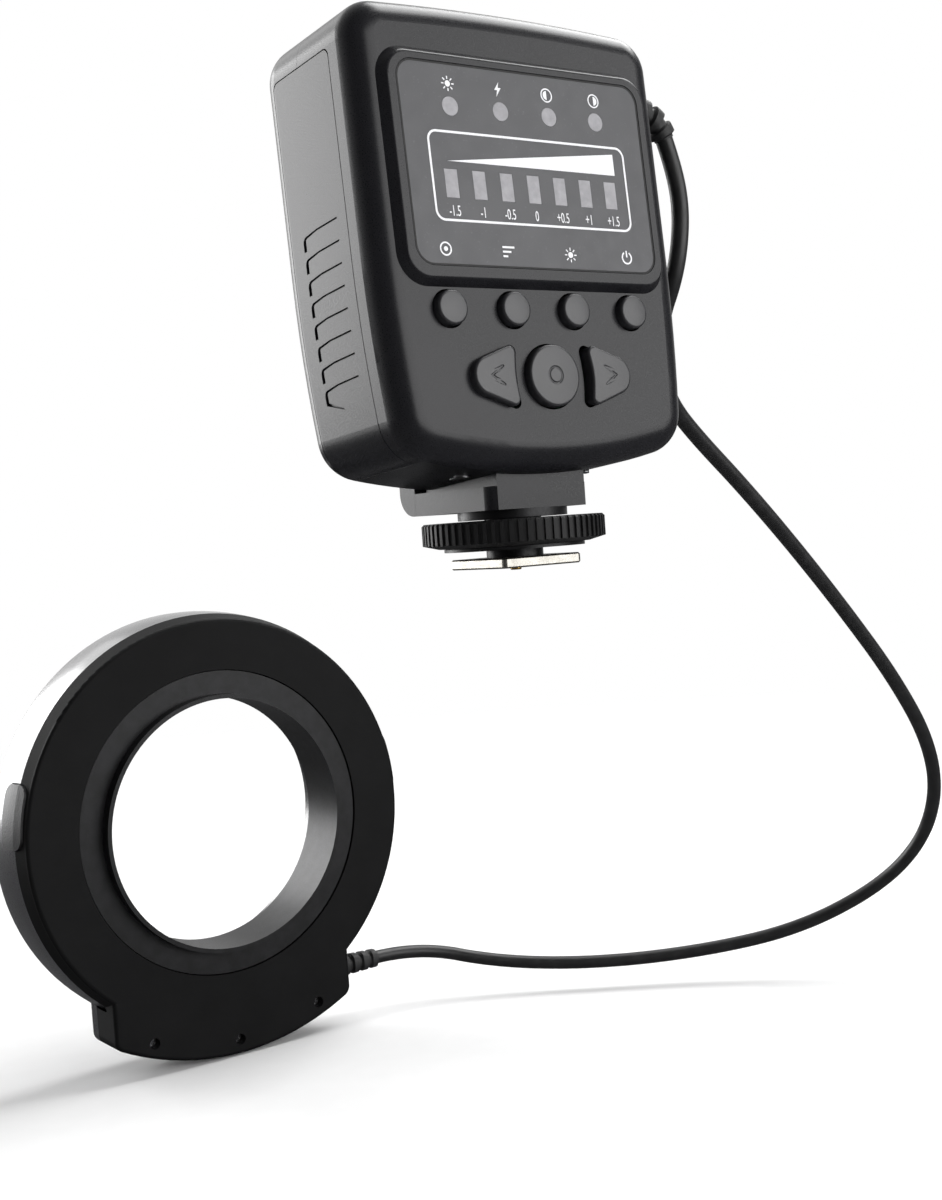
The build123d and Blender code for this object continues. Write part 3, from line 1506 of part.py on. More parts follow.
with BuildPart() as ring_reflector:
    with BuildSketch(ring_at(led_board_depth + led_board_thick)):
        Circle(led_board_inner + seat_gap + reflector_rim)
        Circle(led_board_inner + seat_gap, mode=Mode.SUBTRACT)
    extrude(amount=-(reflector_depth + reflector_thick - led_board_depth - led_board_thick))
    with BuildSketch(ring_at(reflector_depth)):
        Circle(led_board_outer)
        Circle(led_board_inner + seat_gap, mode=Mode.SUBTRACT)
        with Locations(*led_places):
            Circle(reflector_hole, mode=Mode.SUBTRACT)
    extrude(amount=-reflector_thick)
save(ring_reflector, "ring_reflector")

# Release buttons, their sliders and springs
with BuildPart() as button_envelope:
    with BuildSketch(ring_section):
        with BuildLine():
            Polyline(
                (ring_back + ring_depth, ring_front_radius + release_proud),
                (ring_back + ring_depth, 0), (ring_back, 0),
                (ring_back, ring_back_radius + release_proud),
                (ring_back + ring_seam, ring_seam_radius + release_proud),
            )
            ThreePointArc(
                (ring_back + ring_seam, ring_seam_radius + release_proud),
                (ring_back + ring_belly, ring_belly_radius + release_proud),
                (ring_back + ring_depth, ring_front_radius + release_proud),
            )
        make_face()
    revolve(axis=ring_axis)

for side, name, depth in ((-1, "left", slider_depth_left), (1, "right", slider_depth_right)):
    stop_near = release_flange_near - release_mid
    stop_width = release_width / 2 - stop_near
    with BuildPart() as button:
        with BuildSketch(release_plane(side, release_pill_x)):
            RectangleRounded(release_width, release_height, release_corner)
        extrude(amount=ring_belly_radius)
        add(button_envelope.part, mode=Mode.INTERSECT)
        with BuildSketch(release_plane(side, release_flange_x - release_flange_thick)):
            with Locations((stop_near + stop_width / 2, 0)):
                Rectangle(stop_width, release_height - 2 * release_corner)
        extrude(amount=release_pill_x - release_flange_x + release_flange_thick)
        with BuildSketch(release_plane(side, release_flange_x - release_flange_thick)):
            with Locations((stop_near + stop_width / 2, 0)):
                Rectangle(stop_width, release_height + 2 * release_flange_extra)
        extrude(amount=release_flange_thick)
    save(button, f"release_button_{name}")

    with BuildPart() as slider:
        with BuildSketch(ring_at(depth)):
            Circle(slider_outer)
            Circle(slider_inner, mode=Mode.SUBTRACT)
            with Locations((side * (slider_inner + release_pill_x) / 2, release_up)):
                Rectangle(release_pill_x - slider_inner, 2 * slider_arm_half)
            with Locations((-side * slider_outer / 2, 0)):
                Rectangle(slider_outer, 2 * claw_half)
            Circle(claw_tip, mode=Mode.SUBTRACT)
        extrude(amount=-slider_thick)
    save(slider, f"release_slider_{name}")

    with BuildPart() as spring:
        spring_start = tube_outer_radius - release_spring_wire
        spring_end = release_flange_x - release_flange_thick - release_spring_wire - parting_gap
        with BuildLine():
            coil = Helix(
                pitch=(spring_end - spring_start) / release_spring_turns,
                height=spring_end - spring_start,
                radius=release_spring_radius,
                center=(side * spring_start, ring_back + release_spring_depth, release_up - ring_drop),
                direction=(side, 0, 0),
            )
        with BuildSketch(Plane(origin=coil @ 0, z_dir=coil % 0)):
            Circle(release_spring_wire)
        sweep(is_frenet=True)
    save(spring, f"release_spring_{name}")

# Adapter ring: a thread pin behind a flange, and a grooved hub that the claws hold
with BuildPart() as adapter_ring:
    flange_face = ring_back + adapter_flange_inset
    with BuildSketch(ring_section):
        with BuildLine():
            Polyline(
                (flange_face - thread_length, adapter_bore),
                (flange_face - thread_length, thread_radius),
                (flange_face, thread_radius),
                (flange_face, adapter_flange_radius),
                (flange_face + adapter_flange_thick, adapter_flange_radius),
                (flange_face + adapter_flange_thick, adapter_hub_radius),
                (ring_back + claw_near, adapter_hub_radius),
                (ring_back + claw_near, groove_radius),
                (ring_back + groove_far, groove_radius),
                (ring_back + groove_far, adapter_hub_radius),
                (flange_face + adapter_length - adapter_bevel, adapter_hub_radius),
                (flange_face + adapter_length, adapter_hub_radius - adapter_bevel),
                (flange_face + adapter_length, adapter_bore),
                close=True,
            )
        make_face()
    revolve(axis=ring_axis)
save(adapter_ring, "adapter_ring")
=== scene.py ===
# %% [markdown]
# # A macro ring flash
# The object has three parts that show: a control unit that stands in an accessory shoe, a ring-shaped
# flash head that sits round a lens, and the rubber cord between them. The construction comes from a packed
# frame of separate nodes at their real size. This file adds what a frame lacks: the camera, the cord's
# smooth line and its boots, the printed scale, the marked keys, screw heads, every finish and a small studio.

# %% Load the frame
import json
import math

import bpy
import numpy as np
from mathutils import Matrix, Vector

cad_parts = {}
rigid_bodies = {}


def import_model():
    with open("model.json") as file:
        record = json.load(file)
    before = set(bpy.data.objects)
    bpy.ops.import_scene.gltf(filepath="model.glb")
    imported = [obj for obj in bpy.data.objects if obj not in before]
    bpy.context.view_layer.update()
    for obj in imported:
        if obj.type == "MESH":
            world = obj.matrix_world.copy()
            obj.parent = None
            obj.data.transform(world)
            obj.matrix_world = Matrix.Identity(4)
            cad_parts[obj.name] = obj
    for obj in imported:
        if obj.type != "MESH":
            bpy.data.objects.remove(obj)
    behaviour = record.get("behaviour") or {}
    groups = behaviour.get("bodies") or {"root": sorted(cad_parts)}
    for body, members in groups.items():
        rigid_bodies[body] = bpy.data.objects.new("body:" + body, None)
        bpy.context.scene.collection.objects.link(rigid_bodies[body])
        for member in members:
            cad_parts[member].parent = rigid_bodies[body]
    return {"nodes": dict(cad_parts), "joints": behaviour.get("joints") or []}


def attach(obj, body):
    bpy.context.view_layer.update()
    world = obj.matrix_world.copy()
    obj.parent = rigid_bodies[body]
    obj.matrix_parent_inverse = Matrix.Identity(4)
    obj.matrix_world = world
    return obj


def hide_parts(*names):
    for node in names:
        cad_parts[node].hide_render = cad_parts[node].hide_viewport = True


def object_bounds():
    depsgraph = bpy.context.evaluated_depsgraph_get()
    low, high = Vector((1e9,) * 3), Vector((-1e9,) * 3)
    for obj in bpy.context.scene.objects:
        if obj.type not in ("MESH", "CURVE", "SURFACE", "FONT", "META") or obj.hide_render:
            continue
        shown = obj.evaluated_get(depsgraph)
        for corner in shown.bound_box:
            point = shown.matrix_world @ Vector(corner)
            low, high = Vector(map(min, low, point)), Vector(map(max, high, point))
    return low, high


for leftover in list(bpy.data.objects):
    bpy.data.objects.remove(leftover)
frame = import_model()
nodes = frame["nodes"]
cad_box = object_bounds()
mm = 0.001
print("nodes:", len(nodes), "box in mm:", [[round(c / mm, 1) for c in corner] for corner in cad_box])

# %% [markdown]
# ## Camera
# The picture is taken from behind and to the left of the unit, a little below its middle, with the camera
# rolled by four degrees. A lens is given by its focal length on a 36 mm frame, and the picture stands
# upright, so the 36 mm lie along its height. Turning three level directions by pitch and then by roll gives
# the camera's own axes, which are the columns of its matrix.

# %% Camera
camera_place = Vector((-0.1926, -0.25479, 0.00767))
camera_yaw = math.radians(35.45)
camera_pitch = math.radians(-2.43)
camera_roll = math.radians(-3.97)


def camera_axes(yaw, pitch, roll):
    """Right, up and forward: level axes turned by yaw, forward raised by pitch, then both others rolled."""
    level_right = Vector((math.cos(yaw), -math.sin(yaw), 0))
    level_forward = Vector((math.sin(yaw), math.cos(yaw), 0))
    upright = Vector((0, 0, 1))
    forward = level_forward * math.cos(pitch) + upright * math.sin(pitch)
    raised = upright * math.cos(pitch) - level_forward * math.sin(pitch)
    right = level_right * math.cos(roll) + raised * math.sin(roll)
    up = raised * math.cos(roll) - level_right * math.sin(roll)
    return right, up, forward


right, up, forward = camera_axes(camera_yaw, camera_pitch, camera_roll)
camera_data = bpy.data.cameras.new("camera")
camera_data.sensor_fit = "VERTICAL"
camera_data.sensor_height = 36
camera_data.lens = 49.53
camera_data.clip_start = 0.01
camera = bpy.data.objects.new("camera", camera_data)
camera.matrix_world = Matrix.Translation(camera_place) @ Matrix((right, up, -forward)).transposed().to_4x4()
bpy.context.scene.collection.objects.link(camera)
bpy.context.scene.camera = camera
print("camera looks along", [round(c, 3) for c in forward])

# %% [markdown]
# ## Shader helpers
# Every finish here is one Principled shader with a few noise patterns. Patterns read Object coordinates,
# which are metres in the object's own frame, so a pattern's size can be written as a real size: a cell of
# 0.3 mm is a noise scale of one over 0.0003. A number that is the same all over a surface is set on the
# shader's own socket.

# %% Shader helpers
noise_low = 0.3
noise_high = 0.7


def paint(code):
    """A colour written as the six digits seen on a screen, turned into linear light for the shader."""
    shares = [int(code[place:place + 2], 16) / 255 for place in (0, 2, 4)]
    return [(s / 12.92 if s <= 0.04045 else ((s + 0.055) / 1.055) ** 2.4) for s in shares] + [1]


def new_finish(name, colour, roughness, metallic=0.0):
    """A material whose Principled shader has this plain colour, roughness and metallic."""
    finish = bpy.data.materials.new(name)
    finish.use_nodes = True
    shader = finish.node_tree.nodes["Principled BSDF"]
    shader.inputs["Base Color"].default_value = paint(colour)
    shader.inputs["Roughness"].default_value = roughness
    shader.inputs["Metallic"].default_value = metallic
    return finish, finish.node_tree, shader


def object_point(tree, stretch=(1, 1, 1)):
    """Object coordinates, multiplied axis by axis, so that a pattern can be drawn out along one axis."""
    where = tree.nodes.new("ShaderNodeTexCoord")
    scaled = tree.nodes.new("ShaderNodeVectorMath")
    scaled.operation = "MULTIPLY"
    scaled.inputs[1].default_value = stretch
    tree.links.new(where.outputs["Object"], scaled.inputs[0])
    return scaled.outputs[0]


def noise(tree, size, detail=2.0, stretch=(1, 1, 1)):
    """Smooth noise from 0 to 1 with cells of this size."""
    pattern = tree.nodes.new("ShaderNodeTexNoise")
    pattern.inputs["Scale"].default_value = 1 / size
    pattern.inputs["Detail"].default_value = detail
    tree.links.new(object_point(tree, stretch), pattern.inputs["Vector"])
    return pattern.outputs["Fac"]


def between(tree, value, low, high, new_low=0.0, new_high=1.0):
    """Maps a value from one range to another and holds it at the ends."""
    mapped = tree.nodes.new("ShaderNodeMapRange")
    mapped.inputs["From Min"].default_value = low
    mapped.inputs["From Max"].default_value = high
    mapped.inputs["To Min"].default_value = new_low
    mapped.inputs["To Max"].default_value = new_high
    tree.links.new(value, mapped.inputs["Value"])
    return mapped.outputs["Result"]


def spread(tree, pattern, new_low=0.0, new_high=1.0):
    """Noise hardly leaves its middle, so that range alone is mapped to the one that is wanted."""
    return between(tree, pattern, noise_low, noise_high, new_low, new_high)


def combine(tree, operation, first, second):
    """One Math node on two sockets."""
    math_node = tree.nodes.new("ShaderNodeMath")
    math_node.operation = operation
    tree.links.new(first, math_node.inputs[0])
    tree.links.new(second, math_node.inputs[1])
    return math_node.outputs[0]


def blended(tree, share, first, second):
    """A shader that goes from the first to the second as share goes from 0 to 1."""
    blend = tree.nodes.new("ShaderNodeMixShader")
    for socket, source in zip(blend.inputs, (share, first, second)):
        tree.links.new(source, socket)
    return blend.outputs[0]


def mixed(tree, share, first, second):
    """A colour that goes from first to second as share goes from 0 to 1. Each is a code or a socket."""
    mix = tree.nodes.new("ShaderNodeMix")
    mix.data_type = "RGBA"
    tree.links.new(share, mix.inputs["Factor"])
    for socket, colour in ((mix.inputs[6], first), (mix.inputs[7], second)):
        if isinstance(colour, str):
            socket.default_value = paint(colour)
        else:
            tree.links.new(colour, socket)
    return mix.outputs[2]


def raise_surface(tree, shader, height, depth):
    """Bump: the height pattern, from 0 to 1, lifts the surface by up to depth."""
    bump = tree.nodes.new("ShaderNodeBump")
    bump.inputs["Distance"].default_value = depth
    tree.links.new(height, bump.inputs["Height"])
    tree.links.new(bump.outputs["Normal"], shader.inputs["Normal"])


def coat(node_names, finish):
    """Gives CAD nodes their finish."""
    for name in node_names:
        nodes[name].material_slots[0].material = finish


# %% [markdown]
# ## Moulded plastic
# The case, the keys and the ring head are injection moulded. A mould is etched, so the plastic comes out
# with a fine even grain, and its colour drifts a little over some millimetres. One function makes them all
# from a colour, a roughness and the grain's size, because they come from the same kind of mould. The ring
# head is polished, so it has a clear coat as well.

# %% Moulded plastic
grain_roughness = 0.04


def moulded(
    name, colour, lighter, roughness, specular=0.5, grain=0.2 * mm, grain_depth=0.002 * mm, drift=9 * mm
):
    """Plastic with etched grain: colour drifts slowly, roughness varies with the grain."""
    finish, tree, shader = new_finish(name, colour, roughness)
    slow = spread(tree, noise(tree, drift, 3))
    fine = noise(tree, grain, 1)
    rough = spread(tree, fine, roughness - grain_roughness, roughness + grain_roughness)
    tree.links.new(mixed(tree, slow, colour, lighter), shader.inputs["Base Color"])
    tree.links.new(rough, shader.inputs["Roughness"])
    raise_surface(tree, shader, fine, grain_depth)
    shader.inputs["Specular IOR Level"].default_value = specular
    return finish


case_finish = moulded("satin_case_plastic", "17171a", "1b1b1e", 0.3, specular=0.32)
ring_finish = moulded("satin_ring_plastic", "28282b", "2e2e31", 0.3, specular=0.9)
ring_shader = ring_finish.node_tree.nodes["Principled BSDF"]
ring_shader.inputs["Coat Weight"].default_value = 0.9
ring_shader.inputs["Coat Roughness"].default_value = 0.2
# The rear cover is black plastic, and its colour is set darker than the front cover's to paint in the shade
# that the rear face stands in.
ring_rear_shade_finish = moulded(
    "ring_rear_plastic_painted_shade", "0a0a0b", "0e0e0f", 0.55, specular=0.15, grain_depth=0.004 * mm
)
key_finish = moulded("soft_key_plastic", "212124", "262629", 0.4, specular=0.75)
wheel_finish = moulded("wheel_plastic", "141415", "19191a", 0.5, specular=0.3)
button_finish = moulded(
    "textured_button_plastic", "0c0c0d", "1a1a1c", 0.42, grain=0.5 * mm, grain_depth=0.06 * mm, drift=0.5 * mm
)
tray_finish = moulded("tray_plastic", "2a2a2b", "303031", 0.5)
component_finish = moulded("component_plastic", "141415", "1b1b1c", 0.42)
coat(["rear_shell", "front_shell", "neck_bracket", "battery_door"], case_finish)
coat(["ring_front_cover"], ring_finish)
coat(["ring_rear_cover"], ring_rear_shade_finish)
coat(["locking_wheel"], wheel_finish)
coat(["release_button_left", "release_button_right"], button_finish)
coat(["battery_tray"], tray_finish)
coat(["release_slider_left", "release_slider_right", "key_switches"], component_finish)
print("moulded finishes:", 8)

# %% [markdown]
# ## Metals
# The foot is bright nickel, tumbled and worn by sliding into shoes, so fine scratches run along its length.
# The stem, the clamp plate and the lens adapter are black anodised: a dark skin with a dull metal gleam.
# Screws are zinc plated, the contact pin is gold plated, and springs are bare wire. One function makes
# them: soft patches in the colour, and scratches drawn out along one axis in the roughness.

# %% Metals
patch_size = 3 * mm
scratch_size = 0.15 * mm
scratch_depth = 0.003 * mm


def plated(name, colour, darker, roughness, stretch=(1, 1, 1), metallic=1.0):
    """Metal with patches in its colour and scratches that are long where stretch is small."""
    finish, tree, shader = new_finish(name, colour, roughness, metallic)
    patches = between(tree, noise(tree, patch_size, 3), 0.35, 0.65)
    scratches = noise(tree, scratch_size, 2, stretch)
    tree.links.new(mixed(tree, patches, colour, darker), shader.inputs["Base Color"])
    tree.links.new(spread(tree, scratches, roughness - 0.07, roughness + 0.09), shader.inputs["Roughness"])
    raise_surface(tree, shader, scratches, scratch_depth)
    return finish


foot_finish = plated("bright_nickel", "bdbab3", "a8a59e", 0.3, (1, 0.06, 1))
black_metal_finish = plated("black_anodised", "161617", "1e1e20", 0.38, (1, 1, 0.2), metallic=0.4)
screw_finish = plated("zinc_plate", "a2a2a4", "858587", 0.34)
contact_finish = plated("contact_nickel", "c4c2bb", "aaa8a2", 0.25, (0.1, 1, 1))
pin_finish = plated("gold_plate", "d6b061", "c39a4b", 0.22)
spring_finish = plated("spring_wire", "98989b", "7f7f82", 0.3)
coat(["shoe_foot"], foot_finish)
coat(["foot_stem", "clamp_plate", "adapter_ring"], black_metal_finish)
coat(["control_board_screws", "led_board_screws"], screw_finish)
coat(["battery_contacts", "door_contacts"], contact_finish)
coat(["contact_pin"], pin_finish)
coat(["contact_spring", "release_spring_left", "release_spring_right"], spring_finish)
print("metal finishes:", 6)

# %% [markdown]
# ## Inside the housings
# Boards are glass fibre under green mask, with copper tracks that lift it a little and tinned dots where
# parts are soldered. A Voronoi pattern gives both: its straight-sided cells look like tracks, and points
# near a cell's middle become dots. Cells and capacitors wear a shrink sleeve, which is glossy with a paler
# print at one end. The lamps are clear resin over a yellow layer.

# %% Inside the housings
sleeve_fade = 0.4 * mm


def cells(tree, size, metric="EUCLIDEAN"):
    """Distance from the nearest of many scattered points, in shares of their spacing."""
    pattern = tree.nodes.new("ShaderNodeTexVoronoi")
    pattern.distance = metric
    pattern.inputs["Scale"].default_value = 1 / size
    tree.links.new(object_point(tree), pattern.inputs["Vector"])
    return pattern.outputs["Distance"]


def sleeve(name, colour, paler, axis, start):
    """A glossy sleeve whose print gets paler beyond a place on one axis."""
    finish, tree, shader = new_finish(name, colour, 0.28)
    parts = tree.nodes.new("ShaderNodeSeparateXYZ")
    tree.links.new(object_point(tree), parts.inputs[0])
    print_share = between(tree, parts.outputs[axis], start, start + sleeve_fade)
    mottled = mixed(tree, noise(tree, 2 * mm, 3), colour, paler)
    tree.links.new(mixed(tree, print_share, mottled, paler), shader.inputs["Base Color"])
    shader.inputs["Coat Weight"].default_value = 0.4
    return finish


board_finish, tree, shader = new_finish("green_board", "12402a", 0.34)
tracks = between(tree, cells(tree, 2.6 * mm, "CHEBYCHEV"), 0.42, 0.46)
dots = between(tree, cells(tree, 1.9 * mm), 0.16, 0.13)
tracked = mixed(tree, tracks, "12402a", "1a5537")
tree.links.new(mixed(tree, dots, tracked, "b4b3ab"), shader.inputs["Base Color"])
tree.links.new(dots, shader.inputs["Metallic"])
raise_surface(tree, shader, tracks, 0.03 * mm)

cell_finish = sleeve("cell_sleeve", "4d5259", "9a9ea4", "X", 12 * mm)
capacitor_finish = sleeve("capacitor_sleeve", "14171f", "3a3f4b", "Z", 68 * mm)

lamp_finish, tree, shader = new_finish("lamp_resin", "e3d28a", 0.16)
layer = between(tree, cells(tree, 1.2 * mm), 0.2, 0.6)
tree.links.new(mixed(tree, layer, "e8c95a", "f1ecd2"), shader.inputs["Base Color"])
shader.inputs["Coat Weight"].default_value = 1.0
shader.inputs["Coat Roughness"].default_value = 0.05

coat(["control_board", "driver_board", "led_board"], board_finish)
coat(["battery_cells"], cell_finish)
coat(["storage_capacitors"], capacitor_finish)
coat(["status_leds", "level_leds", "led_emitters"], lamp_finish)

# %% [markdown]
# ## Front of the ring head
# Two curved windows of frosted acrylic close the front, and behind them a white tray throws the lamps'
# light forward. The acrylic passes light and blurs it, so the lamps show as soft spots. Its inner side is
# pressed with a fine pattern of small prisms, which is a bump here because each is about a millimetre.

# %% Window and reflector
acrylic_finish, tree, shader = new_finish("frosted_acrylic", "f0f3f5", 0.22)
shader.inputs["Transmission Weight"].default_value = 0.9
shader.inputs["IOR"].default_value = 1.49
prisms = cells(tree, 1.1 * mm, "MANHATTAN")
tree.links.new(spread(tree, noise(tree, 4 * mm, 3), 0.18, 0.28), shader.inputs["Roughness"])
raise_surface(tree, shader, prisms, 0.12 * mm)

reflector_finish, tree, shader = new_finish("reflector_white", "e6e6e4", 0.28)
tree.links.new(mixed(tree, noise(tree, 5 * mm, 2), "dededc", "ececea"), shader.inputs["Base Color"])
raise_surface(tree, shader, noise(tree, 0.6 * mm, 1), 0.01 * mm)

coat(["ring_window_left", "ring_window_right"], acrylic_finish)
coat(["ring_reflector"], reflector_finish)

# %% [markdown]
# ## Rubber
# The cord and its boots are soft black rubber. Rubber scatters light more than hard plastic and catches
# dust, so it is rougher, with a faint dull film in patches. The film also keeps it from looking like a
# painted wire.


# %% Rubber
def rubber(name, colour, dusty, roughness):
    """Rubber with a patchy dull film and a very fine skin."""
    finish, tree, shader = new_finish(name, colour, roughness)
    film = between(tree, noise(tree, 2.5 * mm, 4), 0.45, 0.75)
    tree.links.new(mixed(tree, film, colour, dusty), shader.inputs["Base Color"])
    tree.links.new(between(tree, film, 0, 1, roughness, roughness + 0.12), shader.inputs["Roughness"])
    raise_surface(tree, shader, noise(tree, 0.3 * mm, 2), 0.008 * mm)
    return finish


cord_finish = rubber("cord_rubber", "161617", "1e1e1f", 0.42)
boot_finish = rubber("boot_rubber", "1a1a1b", "252526", 0.55)

# %% [markdown]
# ## Cord
# The cord leaves a bent boot high on the right side of the case, falls beside it, swings out wide to the
# right and comes back under the lens to the ring head's box. Both ends are seen, so its length is what the
# picture shows, 0.40 m. A NURBS line of order three through a listed control polygon is smooth at
# every point, as rubber is, and the curve's round bevel gives it its thickness.

# %% Cord
cord_diameter = 3.6 * mm
cord_route = [
    (0.0431, -0.003, 0.08459), (0.0452, -0.003, 0.0792), (0.046, -0.0036, 0.0715), (0.0448, -0.004, 0.0635),
    (0.0438, -0.0025, 0.056), (0.0438, 0.002, 0.049), (0.0465, 0.007, 0.0405), (0.0528, 0.011, 0.0325),
    (0.0616, 0.013, 0.0252), (0.0778, 0.015, 0.013), (0.0968, 0.018, -0.0022), (0.116, 0.021, -0.0188),
    (0.1355, 0.024, -0.037), (0.1535, 0.029, -0.0555), (0.1645, 0.036, -0.0722), (0.1685, 0.046, -0.088),
    (0.163, 0.058, -0.101), (0.147, 0.074, -0.112), (0.126, 0.092, -0.117), (0.102, 0.11, -0.1185),
    (0.08, 0.127, -0.1165), (0.061, 0.139, -0.1102), (0.0465, 0.139, -0.1102),
]
cord_curve = bpy.data.curves.new("ring_cord", "CURVE")
cord_curve.dimensions = "3D"
cord_line = cord_curve.splines.new("NURBS")
cord_line.points.add(len(cord_route) - 1)
for point, place in zip(cord_line.points, cord_route):
    point.co = (*place, 1)
cord_line.order_u = 3
cord_line.use_endpoint_u = True
cord_line.resolution_u = 12
cord_curve.bevel_depth = cord_diameter / 2
cord_curve.bevel_resolution = 6
cord_curve.use_fill_caps = True
ring_cord = bpy.data.objects.new("ring_cord", cord_curve)
bpy.context.scene.collection.objects.link(ring_cord)
ring_cord.data.materials.append(cord_finish)
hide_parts("cord")
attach(ring_cord, "housing")
print("cord control points:", len(cord_route))

# %% [markdown]
# ## Mesh helpers
# New pieces are surfaces: a grid of points worked out as one numpy array, rows by columns by three. Two
# builders turn such a grid into a closed mesh. One joins each row round into a ring and closes both ends
# with a pole, for anything turned or tubular. The other takes separate flat outlines and gives each the
# thickness of a layer of ink.


# %% Mesh helpers
def add_piece(name, vertices, faces, finish, slot, body, smooth=True):
    """Makes a mesh object at the origin, gives it its finish and lets it ride on a body."""
    mesh = bpy.data.meshes.new(name)
    mesh.from_pydata(np.asarray(vertices).reshape(-1, 3).tolist(), [], faces)
    mesh.polygons.foreach_set("use_smooth", np.full(len(mesh.polygons), smooth))
    mesh.materials.append(finish)
    mesh.validate()
    piece = bpy.data.objects.new(name, mesh)
    bpy.context.scene.collection.objects.link(piece)
    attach(piece, body)
    return piece


def ring_faces(rows, columns, start=0):
    """Quads of rows joined round into rings, and a fan to a pole vertex at each end.
    The pole of the first row comes before the grid, and the pole of the last row after it."""
    row, column = np.meshgrid(np.arange(rows - 1), np.arange(columns), indexing="ij")
    here = start + 1 + row * columns + column
    beside = start + 1 + row * columns + (column + 1) % columns
    quads = np.stack([here, beside, beside + columns, here + columns], -1).reshape(-1, 4)
    around = np.arange(columns)
    ahead = (around + 1) % columns
    first = start + 1
    last = start + 1 + (rows - 1) * columns
    pole = np.full(columns, start)
    end = np.full(columns, start + 1 + rows * columns)
    fans = np.concatenate([
        np.stack([pole, first + ahead, first + around], -1),
        np.stack([end, last + around, last + ahead], -1),
    ])
    return quads.tolist() + fans.tolist()


def closed_rings(grids):
    """Vertices and faces of several ring grids, each closed with a pole in the middle of its end rows."""
    vertices, faces, start = [], [], 0
    for grid in grids:
        rows, columns = grid.shape[:2]
        faces += ring_faces(rows, columns, start)
        vertices += [grid[0].mean(0)[None], grid.reshape(-1, 3), grid[-1].mean(0)[None]]
        start += rows * columns + 2
    return np.concatenate(vertices), faces


def joined(parts):
    """One set of vertices and faces from several."""
    vertices, faces, start = [], [], 0
    for points, sides in parts:
        faces += [[start + index for index in side] for side in sides]
        vertices.append(points)
        start += len(points)
    return np.concatenate(vertices), faces


def mesh_points(mesh):
    """A mesh's vertices as an array, one row each."""
    flat = np.zeros(len(mesh.vertices) * 3)
    mesh.vertices.foreach_get("co", flat)
    return flat.reshape(-1, 3)


def middle_of(values):
    """Half way between the least value and the greatest."""
    return (values.max() + values.min()) / 2


def smooth_step(value, low, high):
    """0 below low, 1 above high, and a smooth S between."""
    share = np.clip((value - low) / (high - low), 0, 1)
    return share * share * (3 - 2 * share)


def distance_to_line(x, y, points):
    """Distance of each (x, y) from a broken line: the least of the distances to its runs."""
    best = np.full(np.broadcast(x, y).shape, np.inf)
    for (ax, ay), (bx, by) in zip(points, points[1:]):
        run = np.array([bx - ax, by - ay])
        share = np.clip(((x - ax) * run[0] + (y - ay) * run[1]) / (run @ run), 0, 1)
        best = np.minimum(best, np.hypot(x - ax - share * run[0], y - ay - share * run[1]))
    return best


# %% [markdown]
# ## The face's own axes
# The rear face leans forward by almost five degrees. The keys' joints push straight into it, so the frame
# itself tells which way the face looks, and the display panel's own points tell where its middle is. Prints
# and keys are then laid out on a flat sheet, right and up, and lifted onto the face.

# %% The face's own axes
key_push = next(joint["axis"] for joint in frame["joints"] if joint["name"] == "select_key_press")
face_right = np.array([1.0, 0.0, 0.0])
face_out = -np.array(key_push) / np.linalg.norm(key_push)
face_up = np.cross(face_out, face_right)
panel_points = mesh_points(nodes["display_overlay"].data)
panel_level = (panel_points @ face_out).max()
panel_middle_up = middle_of(panel_points @ face_up)


def on_face(x, y, lift=0.0):
    """Points on the display panel: x right and y up from its middle, lifted off its surface."""
    x, y, lift = np.broadcast_arrays(x, y, lift)
    return (
        x[..., None] * face_right + (panel_middle_up + y)[..., None] * face_up
        + (panel_level + lift)[..., None] * face_out
    )


print("face looks along", face_out.round(3), "panel middle", on_face(0, 0).round(4))

# %% [markdown]
# ## Display panel
# The panel is a thin printed sheet. The ink covers the back of the sheet, so the grey has almost no
# texture of its own, only fine dust specks and a soft gloss from the film. The windows are milky plastic
# that shows through cut-outs: round lamps above and a bar scale below.

# %% Panel, windows and ink finishes
panel_finish, tree, shader = new_finish("panel_print", "3f3f42", 0.4)
speck = between(tree, noise(tree, 0.5 * mm, 2), 0.66, 0.72)
tree.links.new(mixed(tree, speck, "3f3f42", "49494c"), shader.inputs["Base Color"])
tree.links.new(spread(tree, noise(tree, 3 * mm, 3), 0.36, 0.44), shader.inputs["Roughness"])

window_finish, tree, shader = new_finish("milky_window", "868589", 0.3)
cloud = spread(tree, noise(tree, 1.6 * mm, 3))
tree.links.new(mixed(tree, cloud, "7d7c80", "8f8e92"), shader.inputs["Base Color"])
shader.inputs["Coat Weight"].default_value = 0.1

ink_finish, tree, shader = new_finish("white_ink", "e6e6ea", 0.5)
ink_grain = spread(tree, noise(tree, 0.25 * mm, 1))
tree.links.new(mixed(tree, ink_grain, "dededf", "ededf2"), shader.inputs["Base Color"])

# Painted shade: a near-black band of ink round the panel's edge stands for the shade in the thin gap between
# the panel and the bezel.
gap_shade_finish, tree, shader = new_finish("painted_gap_shade", "0b0b0c", 0.6)
tree.links.new(mixed(tree, noise(tree, 2 * mm), "0a0a0b", "0f0f10"), shader.inputs["Base Color"])

coat(["display_overlay"], panel_finish)
coat(["status_windows", "level_windows"], window_finish)

# %% [markdown]
# ## Prints on the panel
# The print is screen ink a few hundredths of a millimetre thick. A white rounded frame holds a wedge that
# grows to the right, which says that the bars below mean more or less light, and numbers name the bars.
# Small symbols stand for the lamps and keys: a sun, a lightning bolt, the left and right half of the ring,
# and so on. Outlines are flat arrays of points, and each gets a top, a bottom and a wall of ink.

# %% Outlines
ink_low = -0.02 * mm
ink_high = 0.04 * mm


